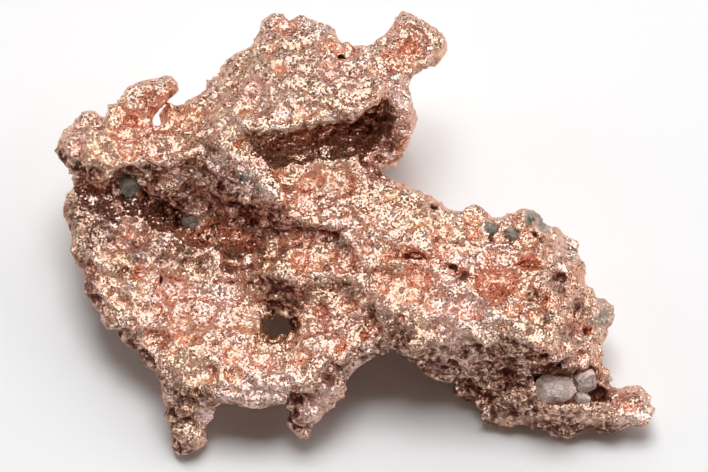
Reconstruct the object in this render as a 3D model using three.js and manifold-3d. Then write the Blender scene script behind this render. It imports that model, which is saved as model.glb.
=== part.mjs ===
// A native copper nugget: one piece of copper that grew in a rock vein, about 80 mm across, with
// the grains of host rock that are still caught in its pockets. Millimetres, +Z up.
//
// The nugget is described in its "face" frame: x runs to the right and y up across its broad face,
// and z stands out of that face. It lies leaning back, so the face frame is turned by LEAN_DEG about
// X and its lowest bumps are worn flat where they meet the ground.
//
// The copper is four sheets that run into each other (a thick body, the brow that overhangs its
// hollow, the hook and the ledge), each an outline with a front and a back relief, plus knobs, and
// less the creases, pits and the hole. Their joined field is turned into one closed mesh.
import * as THREE from "three";
import Module from "manifold-3d";
import { ImprovedNoise } from "three/addons/math/ImprovedNoise.js";
import { mergeVertices } from "three/addons/utils/BufferGeometryUtils.js";

// ---- driving dimensions -------------------------------------------------------------------
const LEAN_DEG = 18; // how far the broad face leans back from level
const GROUND_AT = -16.6; // face-frame z of the ground below the face's origin, along the face's z
const FRAME_SHIFT = [-0.18, -1.29, 0]; // puts the middle of the base at the origin
const MESH_STEP = [1.72, 1.72, 1.95]; // spacing of the mesh's cells
const BOX_LOW = [-43, -33, -30];
const BOX_HIGH = [43, 33, 15];
const RELAX_ROUNDS = 3; // how often the mesh's vertices are evened out
const SETTLE_LIMIT = 0.35; // how far a vertex may move in each round
const BLEND = 1.2; // width of the fillet where two sheets meet
const ROCK_GAP = 0.3; // clearance between the copper and a rock grain

// ---- the sheets' outlines, [x, y], and reliefs, [x, y, z] -----------------------------------
const BODY = {
  rim: 1.3,
  edge: [
    // down the left rim to the front foot
    [-39, 6], [-38.5, 0.5], [-35.5, -6.5], [-32.5, -12.5], [-28, -16.5], [-25.5, -21.5],
    [-24, -27.5], [-22.5, -29.5], [-20, -27.5],
    // the gap, the middle foot and the arch
    [-18, -22.5], [-13.5, -21.5], [-9.5, -22.5], [-7, -27.5], [-3, -23], [0, -18], [4, -15.5],
    [9, -18], [12, -21.5],
    // behind the ledge and up the right end
    [18.5, -24], [33, -21], [35.5, -20], [33.5, -16], [35, -12], [31, -6.5], [31.5, -3], [28, 0.5],
    // the shoulder's upper edge, its peak and its spike
    [23, 3], [19.5, 2], [16, 3.5], [12, 1.5], [13, 3.5], [11, 5], [6.5, 6.5], [3, 8.5],
    // the curtain below the brow's arm, and what the brow covers
    [6, 11.5], [7.5, 15], [7.5, 19.5], [5, 24], [-11.5, 26.5], [-23.5, 16.5], [-34, 11.5],
  ],
  front: [
    // the left rim and the front foot
    [-39, 6, -3], [-38, -1, -2], [-35, -8, -1.5], [-30, -15, -0.5], [-25, -22, -1],
    [-22, -29, -4.5], [-20, -26, -2.5],
    // the lower rim, the middle foot and the arch
    [-17, -22, 1.5], [-11, -21, 2], [-7, -27, -4], [-3, -21, 1.5], [3, -16, 2],
    // the basin
    [-33, 0, -3], [-28, -4, -2.5], [-28, -11, 0], [-22, -9, -1.5], [-23, -18, 1.5],
    [-16, -8, -1], [-15, -15, 1], [-10, -12, -1.5], [-6, -14, 2], [-9, -18, 2.5],
    // the long crease below the brow's left end
    [-34, 6, -6.5], [-26, 4, -9.5], [-19, 2, -9.5], [-14, 0, -6.5], [-21, -2, -4.5],
    // the steps above the hole
    [-12, -4, 2], [-12, -9, -1], [-7, -5, 3], [-6, -8, 1], [0, -6, 3.5],
    // the slanting fold and the pit beside it
    [-17, 9, 2], [-12, 6, 3], [-8, 4, 4], [-16, 4, -6], [-12, 2, 0], [-7, 0, 1],
    // the hollow under the brow
    [-11, 11, -4.5], [-3, 13, -7.5], [4, 14, -7], [-9, 9, -1.5], [0, 9, 0.5], [6, 12, -3],
    [2, 18, -3], [6, 19, 3],
    // the middle
    [-3, 5, 3], [4, 4, 3.5], [0, 0, 4], [12, 3, 3], [8, -2, 5], [15, 2, 2], [12, -8, 6],
    [3, -10, 4.5], [1, -14, 3], [8, -15, 4.5],
    // the right shoulder
    [20, 0, 2.5], [26, 0, 0], [31, -3, -3], [20, -6, 5], [26, -5, 4], [30, -9, 1.5],
    [28, -12, 4.5], [34, -12, -3], [20, -12, 8], [26, -15, 6.5], [14, -13, 7],
    // the steep front below the shoulder, and the pocket
    [11, -19, -3], [15, -16, 3], [20, -16, 4.5], [14, -22, -5.5], [20, -20, -2], [24, -22, -4],
    [29, -20, -3], [32, -16, 0], [35, -19, -4],
    // what the brow covers
    [-21, 14, 2], [-12, 25, -1], [-4, 20, 0], [-3, 25, -1], [5, 23, 0], [-16, 19, 0], [-34, 11, -1],
    [-27, 11, 0],
  ],
  back: [
    [-39, 5, -7], [-37.5, -2, -6.5], [-33, -12, -5.5], [-27, -18, -5], [-22.5, -28.5, -6.6],
    [-15, -21.5, -3], [-7, -27, -6.4], [-1, -19, -2.5], [3.5, -16, -1.5], [8, -17, -4],
    [-30, -5, -8], [-21, -14, -5], [-10, -12, -5], [-16, -3, -11], [-3, -9, -7],
    [-27, 5, -13], [-22, 13, -17], [-14, 17, -15], [-33, 9, -9], [-10, 25, -4],
    [-3, 24, -4], [5, 22, -5], [-3, 14, -16], [4, 13, -16], [7, 17, -12],
    [0, 4, -15], [12, 2, -8], [18, 1, -7], [26, 1, -6], [31, -4, -7],
    [34, -12, -7.5], [22, -8, -11.5], [12, -10, -10], [14, -20, -8.5], [20, -23, -8],
    [30, -20, -8.5], [35, -20, -7.5], [28, -12, -10.5],
  ],
};

const BROW = {
  rim: 1.0,
  edge: [
    // the left lobe, the neck behind the hook and the upper left shoulder
    [-40.5, 11.5], [-39, 14], [-36, 16.5], [-32, 15], [-27.5, 14.5], [-25.5, 17], [-21.5, 18],
    [-18, 20.5], [-17, 23.5], [-13.5, 26],
    // the two crowns with the dip between them, and the arm's tip
    [-12.5, 29.5], [-7.5, 30], [-4, 28.5], [-1.5, 25.5], [3, 26.5], [6, 29.5], [9, 29.5],
    [13, 26.5], [11, 23], [6, 20.5],
    // the lip, back to the lobe
    [3, 18], [-1, 16], [-6.5, 15.5], [-11.5, 13.5], [-16, 13], [-20, 11.5], [-25.5, 8.5],
    [-29, 9], [-33.5, 6.5], [-38, 8.5],
  ],
  front: [
    [-40, 11, 0], [-36, 15.5, 1], [-36, 11, 5], [-35, 8, 3.5], [-31, 12, 4.5],
    [-27, 9.5, 5], [-28, 13.5, 3], [-26, 15, 1.5], [-21, 17, 2.5], [-23, 12, 6],
    [-18, 18.5, 3], [-17, 23, 0.5], [-13.5, 27, 0], [-9, 29.5, 0], [-4.5, 29, 0.5],
    [-3, 26, 1], [0, 25.5, 2], [4, 26, 2.5], [7, 29, 2], [11, 27.5, 2],
    [12.5, 26, 1], [10.5, 23, 2.5], [8, 21.5, 3], [-11, 24, 4], [-4.5, 23.5, 4.5],
    [-10, 18.5, 7.5], [-18, 14.5, 8], [-14, 13.5, 9.5], [-7.5, 15.5, 10.5], [-2, 16.5, 11],
    [1.5, 18, 10.5], [4, 20.5, 8], [-2, 21, 7.5], [3.5, 23.5, 4], [5.5, 22.5, 2.5],
    [8, 25.5, 1.5], [10.5, 25, 3], [-20, 12, 6.5],
  ],
  back: [
    [-40, 11, -6], [-34, 15, -6], [-34, 7.5, -1.5], [-30, 9, -2], [-25, 10, 0],
    [-26, 14, -8], [-20, 12, 2], [-17, 22, -4], [-10, 28, -4], [-4, 28, -3.5],
    [0, 25, -3], [7, 28, -2.5], [12, 26, -3], [9, 22, -3], [-14, 14, 6],
    [-7, 16, 7.5], [-1, 17, 8], [2, 19, 6.5], [4, 21.5, 1], [-6, 21, 2],
    [-14, 19, 1],
  ],
};

const HOOK = {
  rim: 0.9,
  edge: [
    [-33, 15], [-31.5, 18.5], [-29, 21], [-25.5, 21.5], [-23.5, 20], [-26, 17.5], [-26.5, 14.5],
    [-29.5, 13],
  ],
  front: [[-31.5, 15.5, 2.5], [-28, 15, 2.5], [-30, 19, 3.5], [-27, 21, 4], [-24.5, 20, 3.5], [-27.5, 18, 2]],
  back: [[-31.5, 15.5, -2], [-28, 15, -2], [-28, 20, 0.5], [-24.5, 20, 0.5]],
};

const LEDGE = {
  rim: 1.2,
  edge: [
    [16, -25.5], [20, -22], [27.5, -20.5], [35, -21], [38, -20], [40, -22], [40, -25.5],
    [38, -26.5], [32, -26], [28.5, -27.5], [24, -27.5], [19, -27],
  ],
  front: [
    [17, -25.5, -5.5], [22.5, -24, -3.5], [28, -23, -1.5], [33, -22, -1.5], [38.5, -21.5, -1.5],
    [28, -25, -3], [25, -27.5, -6.5], [33, -25, -3], [39, -25.5, -4.5],
  ],
  back: [[17, -25.5, -7.4], [25, -26, -7.4], [30, -23, -7.6], [39, -23, -7.2], [39, -26, -6.8]],
};

// Round knobs: [x, y, z, radius]
const KNOBS = [
  [-38, 4, -3.6, 1.5], [-37.8, 1.5, -3.4, 1.4], [-37, -2.2, -3.2, 1.5], [-34.6, -7, -2.8, 1.7],
  [-32.9, -11.0, -2.4, 1.6], [-28.0, -15.6, -2.0, 1.2], [-25.0, -20.0, -1.8, 1.5], [-24.6, -24.0, -2.4, 1.5],
  [-22.5, -28.0, -5.6, 1.9], [-7.0, -26.0, -4.5, 2.0], [-4.0, 26.6, 1.2, 1.3], [23.1, 2.4, 0.6, 1.2],
  [16.1, 2.7, 0.8, 1.0], [6.4, 15.4, 0.4, 1.6], [5.5, 13.2, -3.5, 2.4], [34.4, -25.4, -5.2, 1.6],
  [38.9, -24.6, -4.6, 1.8], [33.0, -10.6, -2.8, 2.4], [-17.0, 22.8, 1.6, 1.2],
];

// Ridges, as chains of balls: [x, y, z, radius] from end to end
const RIDGES = [
  [[-18, 10.5, 2, 1.5], [-15, 8.5, 2.2, 1.5], [-12, 6.5, 2.8, 1.6], [-9, 4.5, 3.4, 1.6], [-7, 2, 2.8, 1.3]],
  [[3, 20.5, 5, 1.2], [5.5, 18, 3.2, 1.4], [6.5, 16, 1.4, 1.5], [6, 14, -0.6, 1.7]],
];

// The bumps that carry the leaning nugget: the tip of the front foot, one under the ledge and two
// on the hidden side. [x, y, z, radius]
const FEET = [
  [-22.6, -27.6, -5.8, 1.9], [28.6, -25.4, -6.7, 2.0], [-21.5, 12.5, -15.4, 5.4], [2.2, 15.4, -17.4, 4.5],
];

// Pits and creases, as chains of balls taken out of the copper: [x, y, z, radius] from end to end
const HOLE = [[-10.2, -12.0, 4, 1.75], [-10.2, -12.0, -8, 1.9]];
const CREASES = [
  [
    [-33.5, 5.6, -3.5, 1.0], [-29.5, 4.6, -5.5, 1.2], [-25.5, 3.0, -6.5, 1.4], [-21, 1.8, -7, 1.6],
    [-17, 1.2, -6, 1.3],
  ],
  [[-14.8, 11.2, -1.5, 1.3], [-9, 12.8, -1, 1.9], [-3, 14.0, 0, 2.2], [2.6, 14.6, -0.5, 2.0]],
];

// Grains of host rock: [centre x, y, z], [size x, y, z], [turn about x, y, z in degrees], seed
const ROCKS = {
  rock_pocket_main: { at: [27.2, -20.5, -0.6], size: [6.2, 4.6, 4.4], turn: [10, -15, -20], seed: 3 },
  rock_pocket_side: { at: [31.3, -19.6, -0.9], size: [3.0, 3.4, 3.2], turn: [0, 10, 30], seed: 7 },
  rock_pocket_chip: { at: [31.0, -21.9, -1.0], size: [2.4, 1.5, 1.8], turn: [5, 0, 12], seed: 5 },
  rock_crease_left: { at: [-30.4, 7.2, -0.6], size: [3.2, 4.0, 3.4], turn: [-12, 8, 20], seed: 2 },
  rock_crease_deep: { at: [-22.1, 2.0, -6.0], size: [2.8, 2.2, 3.0], turn: [0, 14, -18], seed: 9 },
  rock_shoulder_left: { at: [18.4, 0.9, 1.6], size: [2.2, 1.5, 2.0], turn: [20, 0, 10], seed: 4 },
  rock_shoulder_right: { at: [21.2, 0.2, 1.4], size: [2.4, 1.5, 2.0], turn: [15, 5, -14], seed: 8 },
};

// ---- shape tools ----------------------------------------------------------------------------
const clamp = (v, low, high) => Math.min(high, Math.max(low, v));

// A thin-plate surface z(x, y) that passes through the points [x, y, z].
function relief(points) {
  const n = points.length;
  const bend = (dx, dy) => {
    const r2 = dx * dx + dy * dy;
    return r2 > 0 ? 0.5 * r2 * Math.log(r2) : 0;
  };
  const rows = [];
  for (const [x, y, z] of points) {
    rows.push([...points.map(([px, py]) => bend(x - px, y - py)), 1, x, y, z]);
  }
  rows.push([...points.map(() => 1), 0, 0, 0, 0]);
  rows.push([...points.map((p) => p[0]), 0, 0, 0, 0]);
  rows.push([...points.map((p) => p[1]), 0, 0, 0, 0]);
  const w = solve(rows);
  return (x, y) => {
    let z = w[n] + w[n + 1] * x + w[n + 2] * y;
    for (let i = 0; i < n; i++) z += w[i] * bend(x - points[i][0], y - points[i][1]);
    return z;
  };
}

// Gaussian elimination on rows that end in their right-hand side.
function solve(rows) {
  const n = rows.length;
  for (let c = 0; c < n; c++) {
    let best = c;
    for (let r = c + 1; r < n; r++) if (Math.abs(rows[r][c]) > Math.abs(rows[best][c])) best = r;
    [rows[c], rows[best]] = [rows[best], rows[c]];
    for (let r = c + 1; r < n; r++) {
      const f = rows[r][c] / rows[c][c];
      if (f !== 0) for (let k = c; k <= n; k++) rows[r][k] -= f * rows[c][k];
    }
  }
  const x = new Array(n);
  for (let r = n - 1; r >= 0; r--) {
    let sum = rows[r][n];
    for (let k = r + 1; k < n; k++) sum -= rows[r][k] * x[k];
    x[r] = sum / rows[r][r];
  }
  return x;
}

// Signed distance, negative inside, to a smooth closed outline through the points.
function outline(points) {
  const curve = new THREE.CatmullRomCurve3(
    points.map(([x, y]) => new THREE.Vector3(x, y, 0)),
    true,
    "centripetal",
  );
  const line = curve.getPoints(points.length * 3);
  return (x, y) => {
    let best = Infinity;
    let inside = false;
    for (let i = 0; i + 1 < line.length; i++) {
      const a = line[i];
      const b = line[i + 1];
      const dx = b.x - a.x;
      const dy = b.y - a.y;
      const t = clamp(((x - a.x) * dx + (y - a.y) * dy) / (dx * dx + dy * dy || 1), 0, 1);
      best = Math.min(best, Math.hypot(x - a.x - t * dx, y - a.y - t * dy));
      if (a.y > y !== b.y > y && x < a.x + ((y - a.y) / dy) * dx) inside = !inside;
    }
    return inside ? -best : best;
  };
}

// Remembers the last column, because the mesh is sampled column by column.
function byColumn(fn) {
  const known = new Map();
  return (x, y) => {
    const key = x.toFixed(4) + "," + y.toFixed(4);
    if (!known.has(key)) known.set(key, fn(x, y));
    return known.get(key);
  };
}

// A sheet between its two reliefs, inside its outline, with a rim rounded to `rim`.
function sheet({ edge, front, back, rim }) {
  const side = outline(edge);
  const top = relief(front);
  const bottom = relief(back);
  const column = byColumn((x, y) => [side(x, y), top(x, y), bottom(x, y)]);
  return (x, y, z) => {
    const [d, high, low] = column(x, y);
    const half = Math.max((high - low) / 2, 0.6);
    const round = Math.min(rim, half);
    const across = d + round;
    const through = Math.abs(z - (high + low) / 2) - half + round;
    const outside = Math.hypot(Math.max(across, 0), Math.max(through, 0));
    return outside + Math.min(Math.max(across, through), 0) - round;
  };
}

const ball = ([cx, cy, cz, r]) => (x, y, z) => Math.hypot(x - cx, y - cy, z - cz) - r;

// A chain of balls joined by cones.
function chain(points) {
  return (x, y, z) => {
    let best = Infinity;
    for (let i = 0; i + 1 < points.length; i++) {
      const [ax, ay, az, ar] = points[i];
      const [bx, by, bz, br] = points[i + 1];
      const d = [bx - ax, by - ay, bz - az];
      const t = clamp(
        ((x - ax) * d[0] + (y - ay) * d[1] + (z - az) * d[2]) / (d[0] ** 2 + d[1] ** 2 + d[2] ** 2),
        0,
        1,
      );
      const gap = Math.hypot(x - ax - t * d[0], y - ay - t * d[1], z - az - t * d[2]);
      best = Math.min(best, gap - ar - t * (br - ar));
    }
    return best;
  };
}

function join(a, b, width) {
  const h = Math.max(width - Math.abs(a - b), 0) / width;
  return Math.min(a, b) - (h * h * width) / 4;
}
const cut = (a, b, width) => -join(-a, b, width);

// ---- the copper's field, negative inside ------------------------------------------------------
const lumps = new ImprovedNoise();
const LUMP_SIZES = [
  [5.5, 0.5],
  [2.9, 0.32],
]; // [spacing, height]

const sheets = [BODY, BROW, HOOK, LEDGE].map(sheet);
const knobs = KNOBS.map(ball);
const ridges = RIDGES.map(chain);
const feet = FEET.map(ball);
const lean = THREE.MathUtils.degToRad(LEAN_DEG);
const BELOW_GROUND = 1; // depth of copper kept under the ground until it is worn flat
const creases = [HOLE, ...CREASES].map(chain);

function copper(x, y, z) {
  let d = sheets[0](x, y, z);
  for (const s of sheets.slice(1)) d = join(d, s(x, y, z), BLEND);
  for (const k of knobs) d = join(d, k(x, y, z), 0.8);
  for (const r of ridges) d = join(d, r(x, y, z), 1.2);
  for (const [size, height] of LUMP_SIZES) {
    d += height * lumps.noise(x / size + 9, y / size + 5, z / size + 7);
  }
  for (const c of creases) d = cut(d, c(x, y, z), 0.8);
  for (const f of feet) d = join(d, f(x, y, z), 2.5);
  const height = (z - GROUND_AT) * Math.cos(lean) + y * Math.sin(lean);
  return Math.max(d, -height - BELOW_GROUND);
}

// ---- from field to mesh -----------------------------------------------------------------------
// One vertex in each cell that the surface crosses and one quad across each crossed lattice edge.
function skin(field) {
  const count = BOX_LOW.map((low, k) => Math.ceil((BOX_HIGH[k] - low) / MESH_STEP[k]) + 1);
  const at = (i, j, k) => (k * count[1] + j) * count[0] + i;
  const place = (i, j, k) => [i, j, k].map((n, axis) => BOX_LOW[axis] + n * MESH_STEP[axis]);
  const value = new Float64Array(count[0] * count[1] * count[2]);
  for (let j = 0; j < count[1]; j++) {
    for (let i = 0; i < count[0]; i++) {
      for (let k = 0; k < count[2]; k++) value[at(i, j, k)] = field(...place(i, j, k));
    }
  }
  for (let k = 0; k < count[2]; k++) {
    for (let j = 0; j < count[1]; j++) {
      for (let i = 0; i < count[0]; i++) {
        const outer = [i, j, k].some((n, axis) => n === 0 || n === count[axis] - 1);
        if (outer) value[at(i, j, k)] = Math.max(value[at(i, j, k)], 0.5);
      }
    }
  }
  fillDoubtfulCells(value, count, at);

  const vertices = [];
  const vertexOf = new Map();
  const corners = [0, 1, 2, 3, 4, 5, 6, 7].map((c) => [c & 1, (c >> 1) & 1, c >> 2]);
  for (let k = 0; k + 1 < count[2]; k++) {
    for (let j = 0; j + 1 < count[1]; j++) {
      for (let i = 0; i + 1 < count[0]; i++) {
        const v = corners.map(([a, b, c]) => value[at(i + a, j + b, k + c)]);
        const sum = [0, 0, 0];
        let crossings = 0;
        for (let p = 0; p < 8; p++) {
          for (const bit of [1, 2, 4]) {
            const q = p | bit;
            if (q === p || v[p] < 0 === v[q] < 0) continue;
            const t = v[p] / (v[p] - v[q]);
            for (let m = 0; m < 3; m++) sum[m] += corners[p][m] + t * (corners[q][m] - corners[p][m]);
            crossings++;
          }
        }
        if (!crossings) continue;
        vertexOf.set(at(i, j, k), vertices.length);
        vertices.push(place(i + sum[0] / crossings, j + sum[1] / crossings, k + sum[2] / crossings));
      }
    }
  }

  const quads = [];
  for (let k = 0; k + 1 < count[2]; k++) {
    for (let j = 0; j + 1 < count[1]; j++) {
      for (let i = 0; i + 1 < count[0]; i++) {
        const here = value[at(i, j, k)] < 0;
        for (let axis = 0; axis < 3; axis++) {
          const cell = [i, j, k];
          if (cell[(axis + 1) % 3] === 0 || cell[(axis + 2) % 3] === 0) continue;
          const step = [0, 0, 0];
          step[axis] = 1;
          if (here === value[at(i + step[0], j + step[1], k + step[2])] < 0) continue;
          const u = [0, 0, 0];
          const w = [0, 0, 0];
          u[(axis + 1) % 3] = -1;
          w[(axis + 2) % 3] = -1;
          const quad = [[0, 0], [1, 0], [1, 1], [0, 1]].map(([a, b]) =>
            vertexOf.get(at(i + a * u[0] + b * w[0], j + a * u[1] + b * w[1], k + a * u[2] + b * w[2])),
          );
          if (!here) quad.reverse();
          quads.push(quad);
        }
      }
    }
  }
  const faces = relax(vertices, quads, field).flatMap((quad) => splitQuad(quad, vertices));
  const geometry = new THREE.BufferGeometry();
  geometry.setAttribute("position", new THREE.Float32BufferAttribute(vertices.flat(), 3));
  geometry.setIndex(faces);
  return geometry;
}

// Fills lattice points until no cell face has its corners crossed over and no cell has only two
// opposite corners alike, because there the surface would touch itself.
function fillDoubtfulCells(value, count, at) {
  const FILLED = -0.05;
  let changed = true;
  while (changed) {
    changed = false;
    for (let k = 0; k + 1 < count[2]; k++) {
      for (let j = 0; j + 1 < count[1]; j++) {
        for (let i = 0; i + 1 < count[0]; i++) {
          for (const [u, w] of [[[1, 0, 0], [0, 1, 0]], [[0, 1, 0], [0, 0, 1]], [[0, 0, 1], [1, 0, 0]]]) {
            const a = at(i, j, k);
            const b = at(i + u[0], j + u[1], k + u[2]);
            const c = at(i + u[0] + w[0], j + u[1] + w[1], k + u[2] + w[2]);
            const d = at(i + w[0], j + w[1], k + w[2]);
            const inside = [a, b, c, d].map((n) => value[n] < 0);
            if (inside[0] !== inside[2] || inside[1] !== inside[3] || inside[0] === inside[1]) continue;
            for (const n of [a, b, c, d]) if (value[n] >= 0) value[n] = FILLED;
            changed = true;
          }
          const cell = [0, 1, 2, 3, 4, 5, 6, 7].map((c) => at(i + (c & 1), j + ((c >> 1) & 1), k + (c >> 2)));
          const inside = cell.map((n) => value[n] < 0);
          const full = inside.filter(Boolean).length;
          for (let c = 0; c < 4; c++) {
            const twins = inside[c] === inside[7 - c];
            if (twins && full === 2 && inside[c]) value[cell[c ^ 1]] = FILLED;
            else if (twins && full === 6 && !inside[c]) value[cell[c]] = FILLED;
            else continue;
            changed = true;
            break;
          }
        }
      }
    }
  }
}

// Evens out the vertices, then moves them onto the field's surface.
function relax(vertices, quads, field) {
  const near = vertices.map(() => new Set());
  for (const quad of quads) {
    quad.forEach((v, n) => {
      near[v].add(quad[(n + 1) % 4]);
      near[v].add(quad[(n + 3) % 4]);
    });
  }
  for (let round = 0; round < RELAX_ROUNDS; round++) {
    const before = vertices.map((v) => [...v]);
    vertices.forEach((v, n) => {
      for (let m = 0; m < 3; m++) {
        let sum = 0;
        for (const other of near[n]) sum += before[other][m];
        v[m] += 0.5 * (sum / near[n].size - v[m]);
      }
      settle(v, field);
    });
  }
  return quads;
}

// Moves a vertex towards the field's surface, by at most SETTLE_LIMIT.
function settle(v, field) {
  const probe = 0.05;
  const d = field(...v);
  const slope = [0, 1, 2].map((m) => {
    const w = [...v];
    w[m] += probe;
    return (field(...w) - d) / probe;
  });
  const size = Math.max(slope[0] ** 2 + slope[1] ** 2 + slope[2] ** 2, 0.25);
  for (let m = 0; m < 3; m++) v[m] -= clamp((d * slope[m]) / size, -SETTLE_LIMIT, SETTLE_LIMIT);
}

// Two triangles, split along the quad's shorter diagonal.
function splitQuad([a, b, c, d], vertices) {
  const far = (p, q) => Math.hypot(...[0, 1, 2].map((m) => vertices[p][m] - vertices[q][m]));
  return far(a, c) < far(b, d) ? [a, b, c, a, c, d] : [a, b, d, b, c, d];
}

// A geometry whose faces share their corners.
function welded(geometry) {
  geometry.deleteAttribute("normal");
  geometry.deleteAttribute("uv");
  return mergeVertices(geometry, 1e-4);
}

// ---- rock grains --------------------------------------------------------------------------------
// A rough grain: a coarse ball with flats knocked onto it, stretched to its size.
function grain({ at: centre, size, turn, seed }, swell = 0) {
  const ROUNDS = 1;
  const FLATS = 7;
  const merged = welded(new THREE.IcosahedronGeometry(0.5, ROUNDS));
  const position = merged.getAttribute("position");
  const flats = [];
  for (let n = 0; n < FLATS; n++) {
    const up = 1 - (2 * (n + 0.5)) / FLATS;
    const round = 2.4 * n + seed;
    const reach = Math.sqrt(1 - up * up);
    const way = new THREE.Vector3(reach * Math.cos(round), reach * Math.sin(round), up);
    flats.push({ way, at: 0.36 + 0.03 * (n % 3) });
  }
  const p = new THREE.Vector3();
  for (let i = 0; i < position.count; i++) {
    p.fromBufferAttribute(position, i);
    for (const flat of flats) {
      const over = p.dot(flat.way) - flat.at;
      if (over > 0) p.addScaledVector(flat.way, -over);
    }
    p.multiply(new THREE.Vector3(...size.map((s) => s + 2 * swell)));
    position.setXYZ(i, p.x, p.y, p.z);
  }
  const mesh = new THREE.Mesh(merged, rockFinish);
  mesh.position.set(...centre);
  mesh.rotation.set(...turn.map(THREE.MathUtils.degToRad));
  return mesh;
}

// ---- solids ---------------------------------------------------------------------------------------
const wasm = await Module();
wasm.setup();

function solidOf(geometry) {
  return new wasm.Manifold(
    new wasm.Mesh({
      numProp: 3,
      vertProperties: new Float32Array(geometry.getAttribute("position").array),
      triVerts: new Uint32Array(geometry.index.array),
    }),
  );
}

function geometryOf(solid) {
  const made = solid.getMesh();
  const geometry = new THREE.BufferGeometry();
  geometry.setAttribute("position", new THREE.BufferAttribute(Float32Array.from(made.vertProperties), 3));
  geometry.setIndex(new THREE.BufferAttribute(Uint32Array.from(made.triVerts), 1));
  geometry.computeVertexNormals();
  return geometry;
}

const placed = (mesh) => {
  mesh.updateMatrix();
  return mesh.geometry.clone().applyMatrix4(mesh.matrix);
};

// ---- the nugget -------------------------------------------------------------------------------------
const copperFinish = new THREE.MeshStandardMaterial({ color: 0xb87358, roughness: 0.35, metalness: 1 });
const rockFinish = new THREE.MeshStandardMaterial({ color: 0x8f8783, roughness: 0.9, metalness: 0 });

const face = new THREE.Group();
face.rotation.x = lean;
face.position.set(FRAME_SHIFT[0], FRAME_SHIFT[1], FRAME_SHIFT[2] - GROUND_AT * Math.cos(lean));
face.updateMatrix();

// Everything below the ground, as a slab in the face frame.
function belowGround() {
  const DEEP = 40;
  const slab = welded(new THREE.BoxGeometry(200, 200, DEEP).translate(0, 0, -DEEP / 2));
  return solidOf(slab.applyMatrix4(face.matrix.clone().invert()));
}

let nugget = solidOf(skin(copper)).subtract(belowGround());
for (const [name, rock] of Object.entries(ROCKS)) {
  nugget = nugget.subtract(solidOf(placed(grain(rock, ROCK_GAP))));
  const mesh = grain(rock);
  mesh.name = name;
  face.add(mesh);
}
const parts = nugget.decompose().sort((a, b) => b.volume() - a.volume());
const copperMesh = new THREE.Mesh(geometryOf(parts[0]), copperFinish);
copperMesh.name = "copper_nugget";
face.add(copperMesh);

const root = new THREE.Group();
root.add(face);
export default root;
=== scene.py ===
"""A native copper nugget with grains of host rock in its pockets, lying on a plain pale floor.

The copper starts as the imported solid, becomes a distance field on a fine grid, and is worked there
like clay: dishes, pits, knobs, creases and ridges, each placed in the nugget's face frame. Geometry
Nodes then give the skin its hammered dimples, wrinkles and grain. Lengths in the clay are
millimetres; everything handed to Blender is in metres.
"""
import math

import bpy
import numpy as np
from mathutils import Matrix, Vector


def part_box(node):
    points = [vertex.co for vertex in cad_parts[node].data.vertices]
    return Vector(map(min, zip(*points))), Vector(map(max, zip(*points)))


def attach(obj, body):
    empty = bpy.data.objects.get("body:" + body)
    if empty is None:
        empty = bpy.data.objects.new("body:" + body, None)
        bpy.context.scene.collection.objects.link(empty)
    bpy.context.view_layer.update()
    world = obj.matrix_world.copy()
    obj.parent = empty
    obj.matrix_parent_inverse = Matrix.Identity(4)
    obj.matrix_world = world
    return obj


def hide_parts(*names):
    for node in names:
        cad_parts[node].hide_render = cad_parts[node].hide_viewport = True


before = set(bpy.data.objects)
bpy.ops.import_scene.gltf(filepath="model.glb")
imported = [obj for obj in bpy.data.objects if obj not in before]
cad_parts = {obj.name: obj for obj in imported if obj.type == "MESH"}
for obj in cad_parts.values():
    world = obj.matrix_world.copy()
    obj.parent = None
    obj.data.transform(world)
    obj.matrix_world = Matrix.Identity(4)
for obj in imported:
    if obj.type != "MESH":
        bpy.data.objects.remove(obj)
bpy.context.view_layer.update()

import openvdb
from mathutils import Vector

MM = 0.001

# ---- the face frame: x right, y up and z out of the broad face, which leans back from level ------
LEAN = math.radians(18)
FACE_ORIGIN = np.array([-0.18, -1.29, 16.6 * math.cos(LEAN)])
FACE_AXES = np.array(
    [
        [1, 0, 0],
        [0, math.cos(LEAN), math.sin(LEAN)],
        [0, -math.sin(LEAN), math.cos(LEAN)],
    ]
)


def to_face(points):
    """Metres in the part's frame to millimetres in the face frame."""
    return (points / MM - FACE_ORIGIN) @ FACE_AXES.T


def to_part(points):
    """Millimetres in the face frame to metres in the part's frame."""
    return (points @ FACE_AXES + FACE_ORIGIN) * MM


# ---- clay ----------------------------------------------------------------------------------------
STEP = 0.33  # spacing of the grid, mm
BAND = 10  # how many steps from the surface the field knows
ROUNDING = 0.62  # softens the solid's facets, mm
TRIANGLE_LIMIT = 194_000
TRACE_STEP = 0.25  # spacing of the balls that draw a band or a slot, mm
LINE_STEP = 0.3
STRAND_STEP = 0.4
STRAND_LAYER = 0.8  # spacing of the balls that fill a strand downward, mm
THIN_METAL = 0.9  # what a pit leaves behind it, mm

# how widely each shape melts into the copper, mm
PRESS_BLEND = 0.22
PIT_BLEND = 0.3
RIM_BLEND = 0.35
KNOB_BLEND = 0.5
BEAD_BLEND = 0.6
STRAND_BLEND = 0.7
MOUND_BLEND = 1.5


def join(a, b, width):
    """Two fields as one, melted together over a width."""
    h = np.maximum(width - np.abs(a - b), 0) / width
    return np.minimum(a, b) - h * h * width / 4


def cut(a, b, width):
    """The first field less the second."""
    return -join(-a, b, width)


def blurred(values, reach):
    """Values blurred with a bell curve of the given reach, in grid steps."""
    half = int(math.ceil(2.5 * reach))
    bell = np.exp(-0.5 * (np.arange(-half, half + 1) / reach) ** 2)
    bell /= bell.sum()
    for axis in range(3):
        pads = [(half, half) if k == axis else (0, 0) for k in range(3)]
        padded = np.pad(values, pads, mode="edge")
        count = values.shape[axis]
        values = sum(
            np.float32(w) * np.take(padded, range(n, n + count), axis=axis) for n, w in enumerate(bell)
        )
    return values


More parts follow.
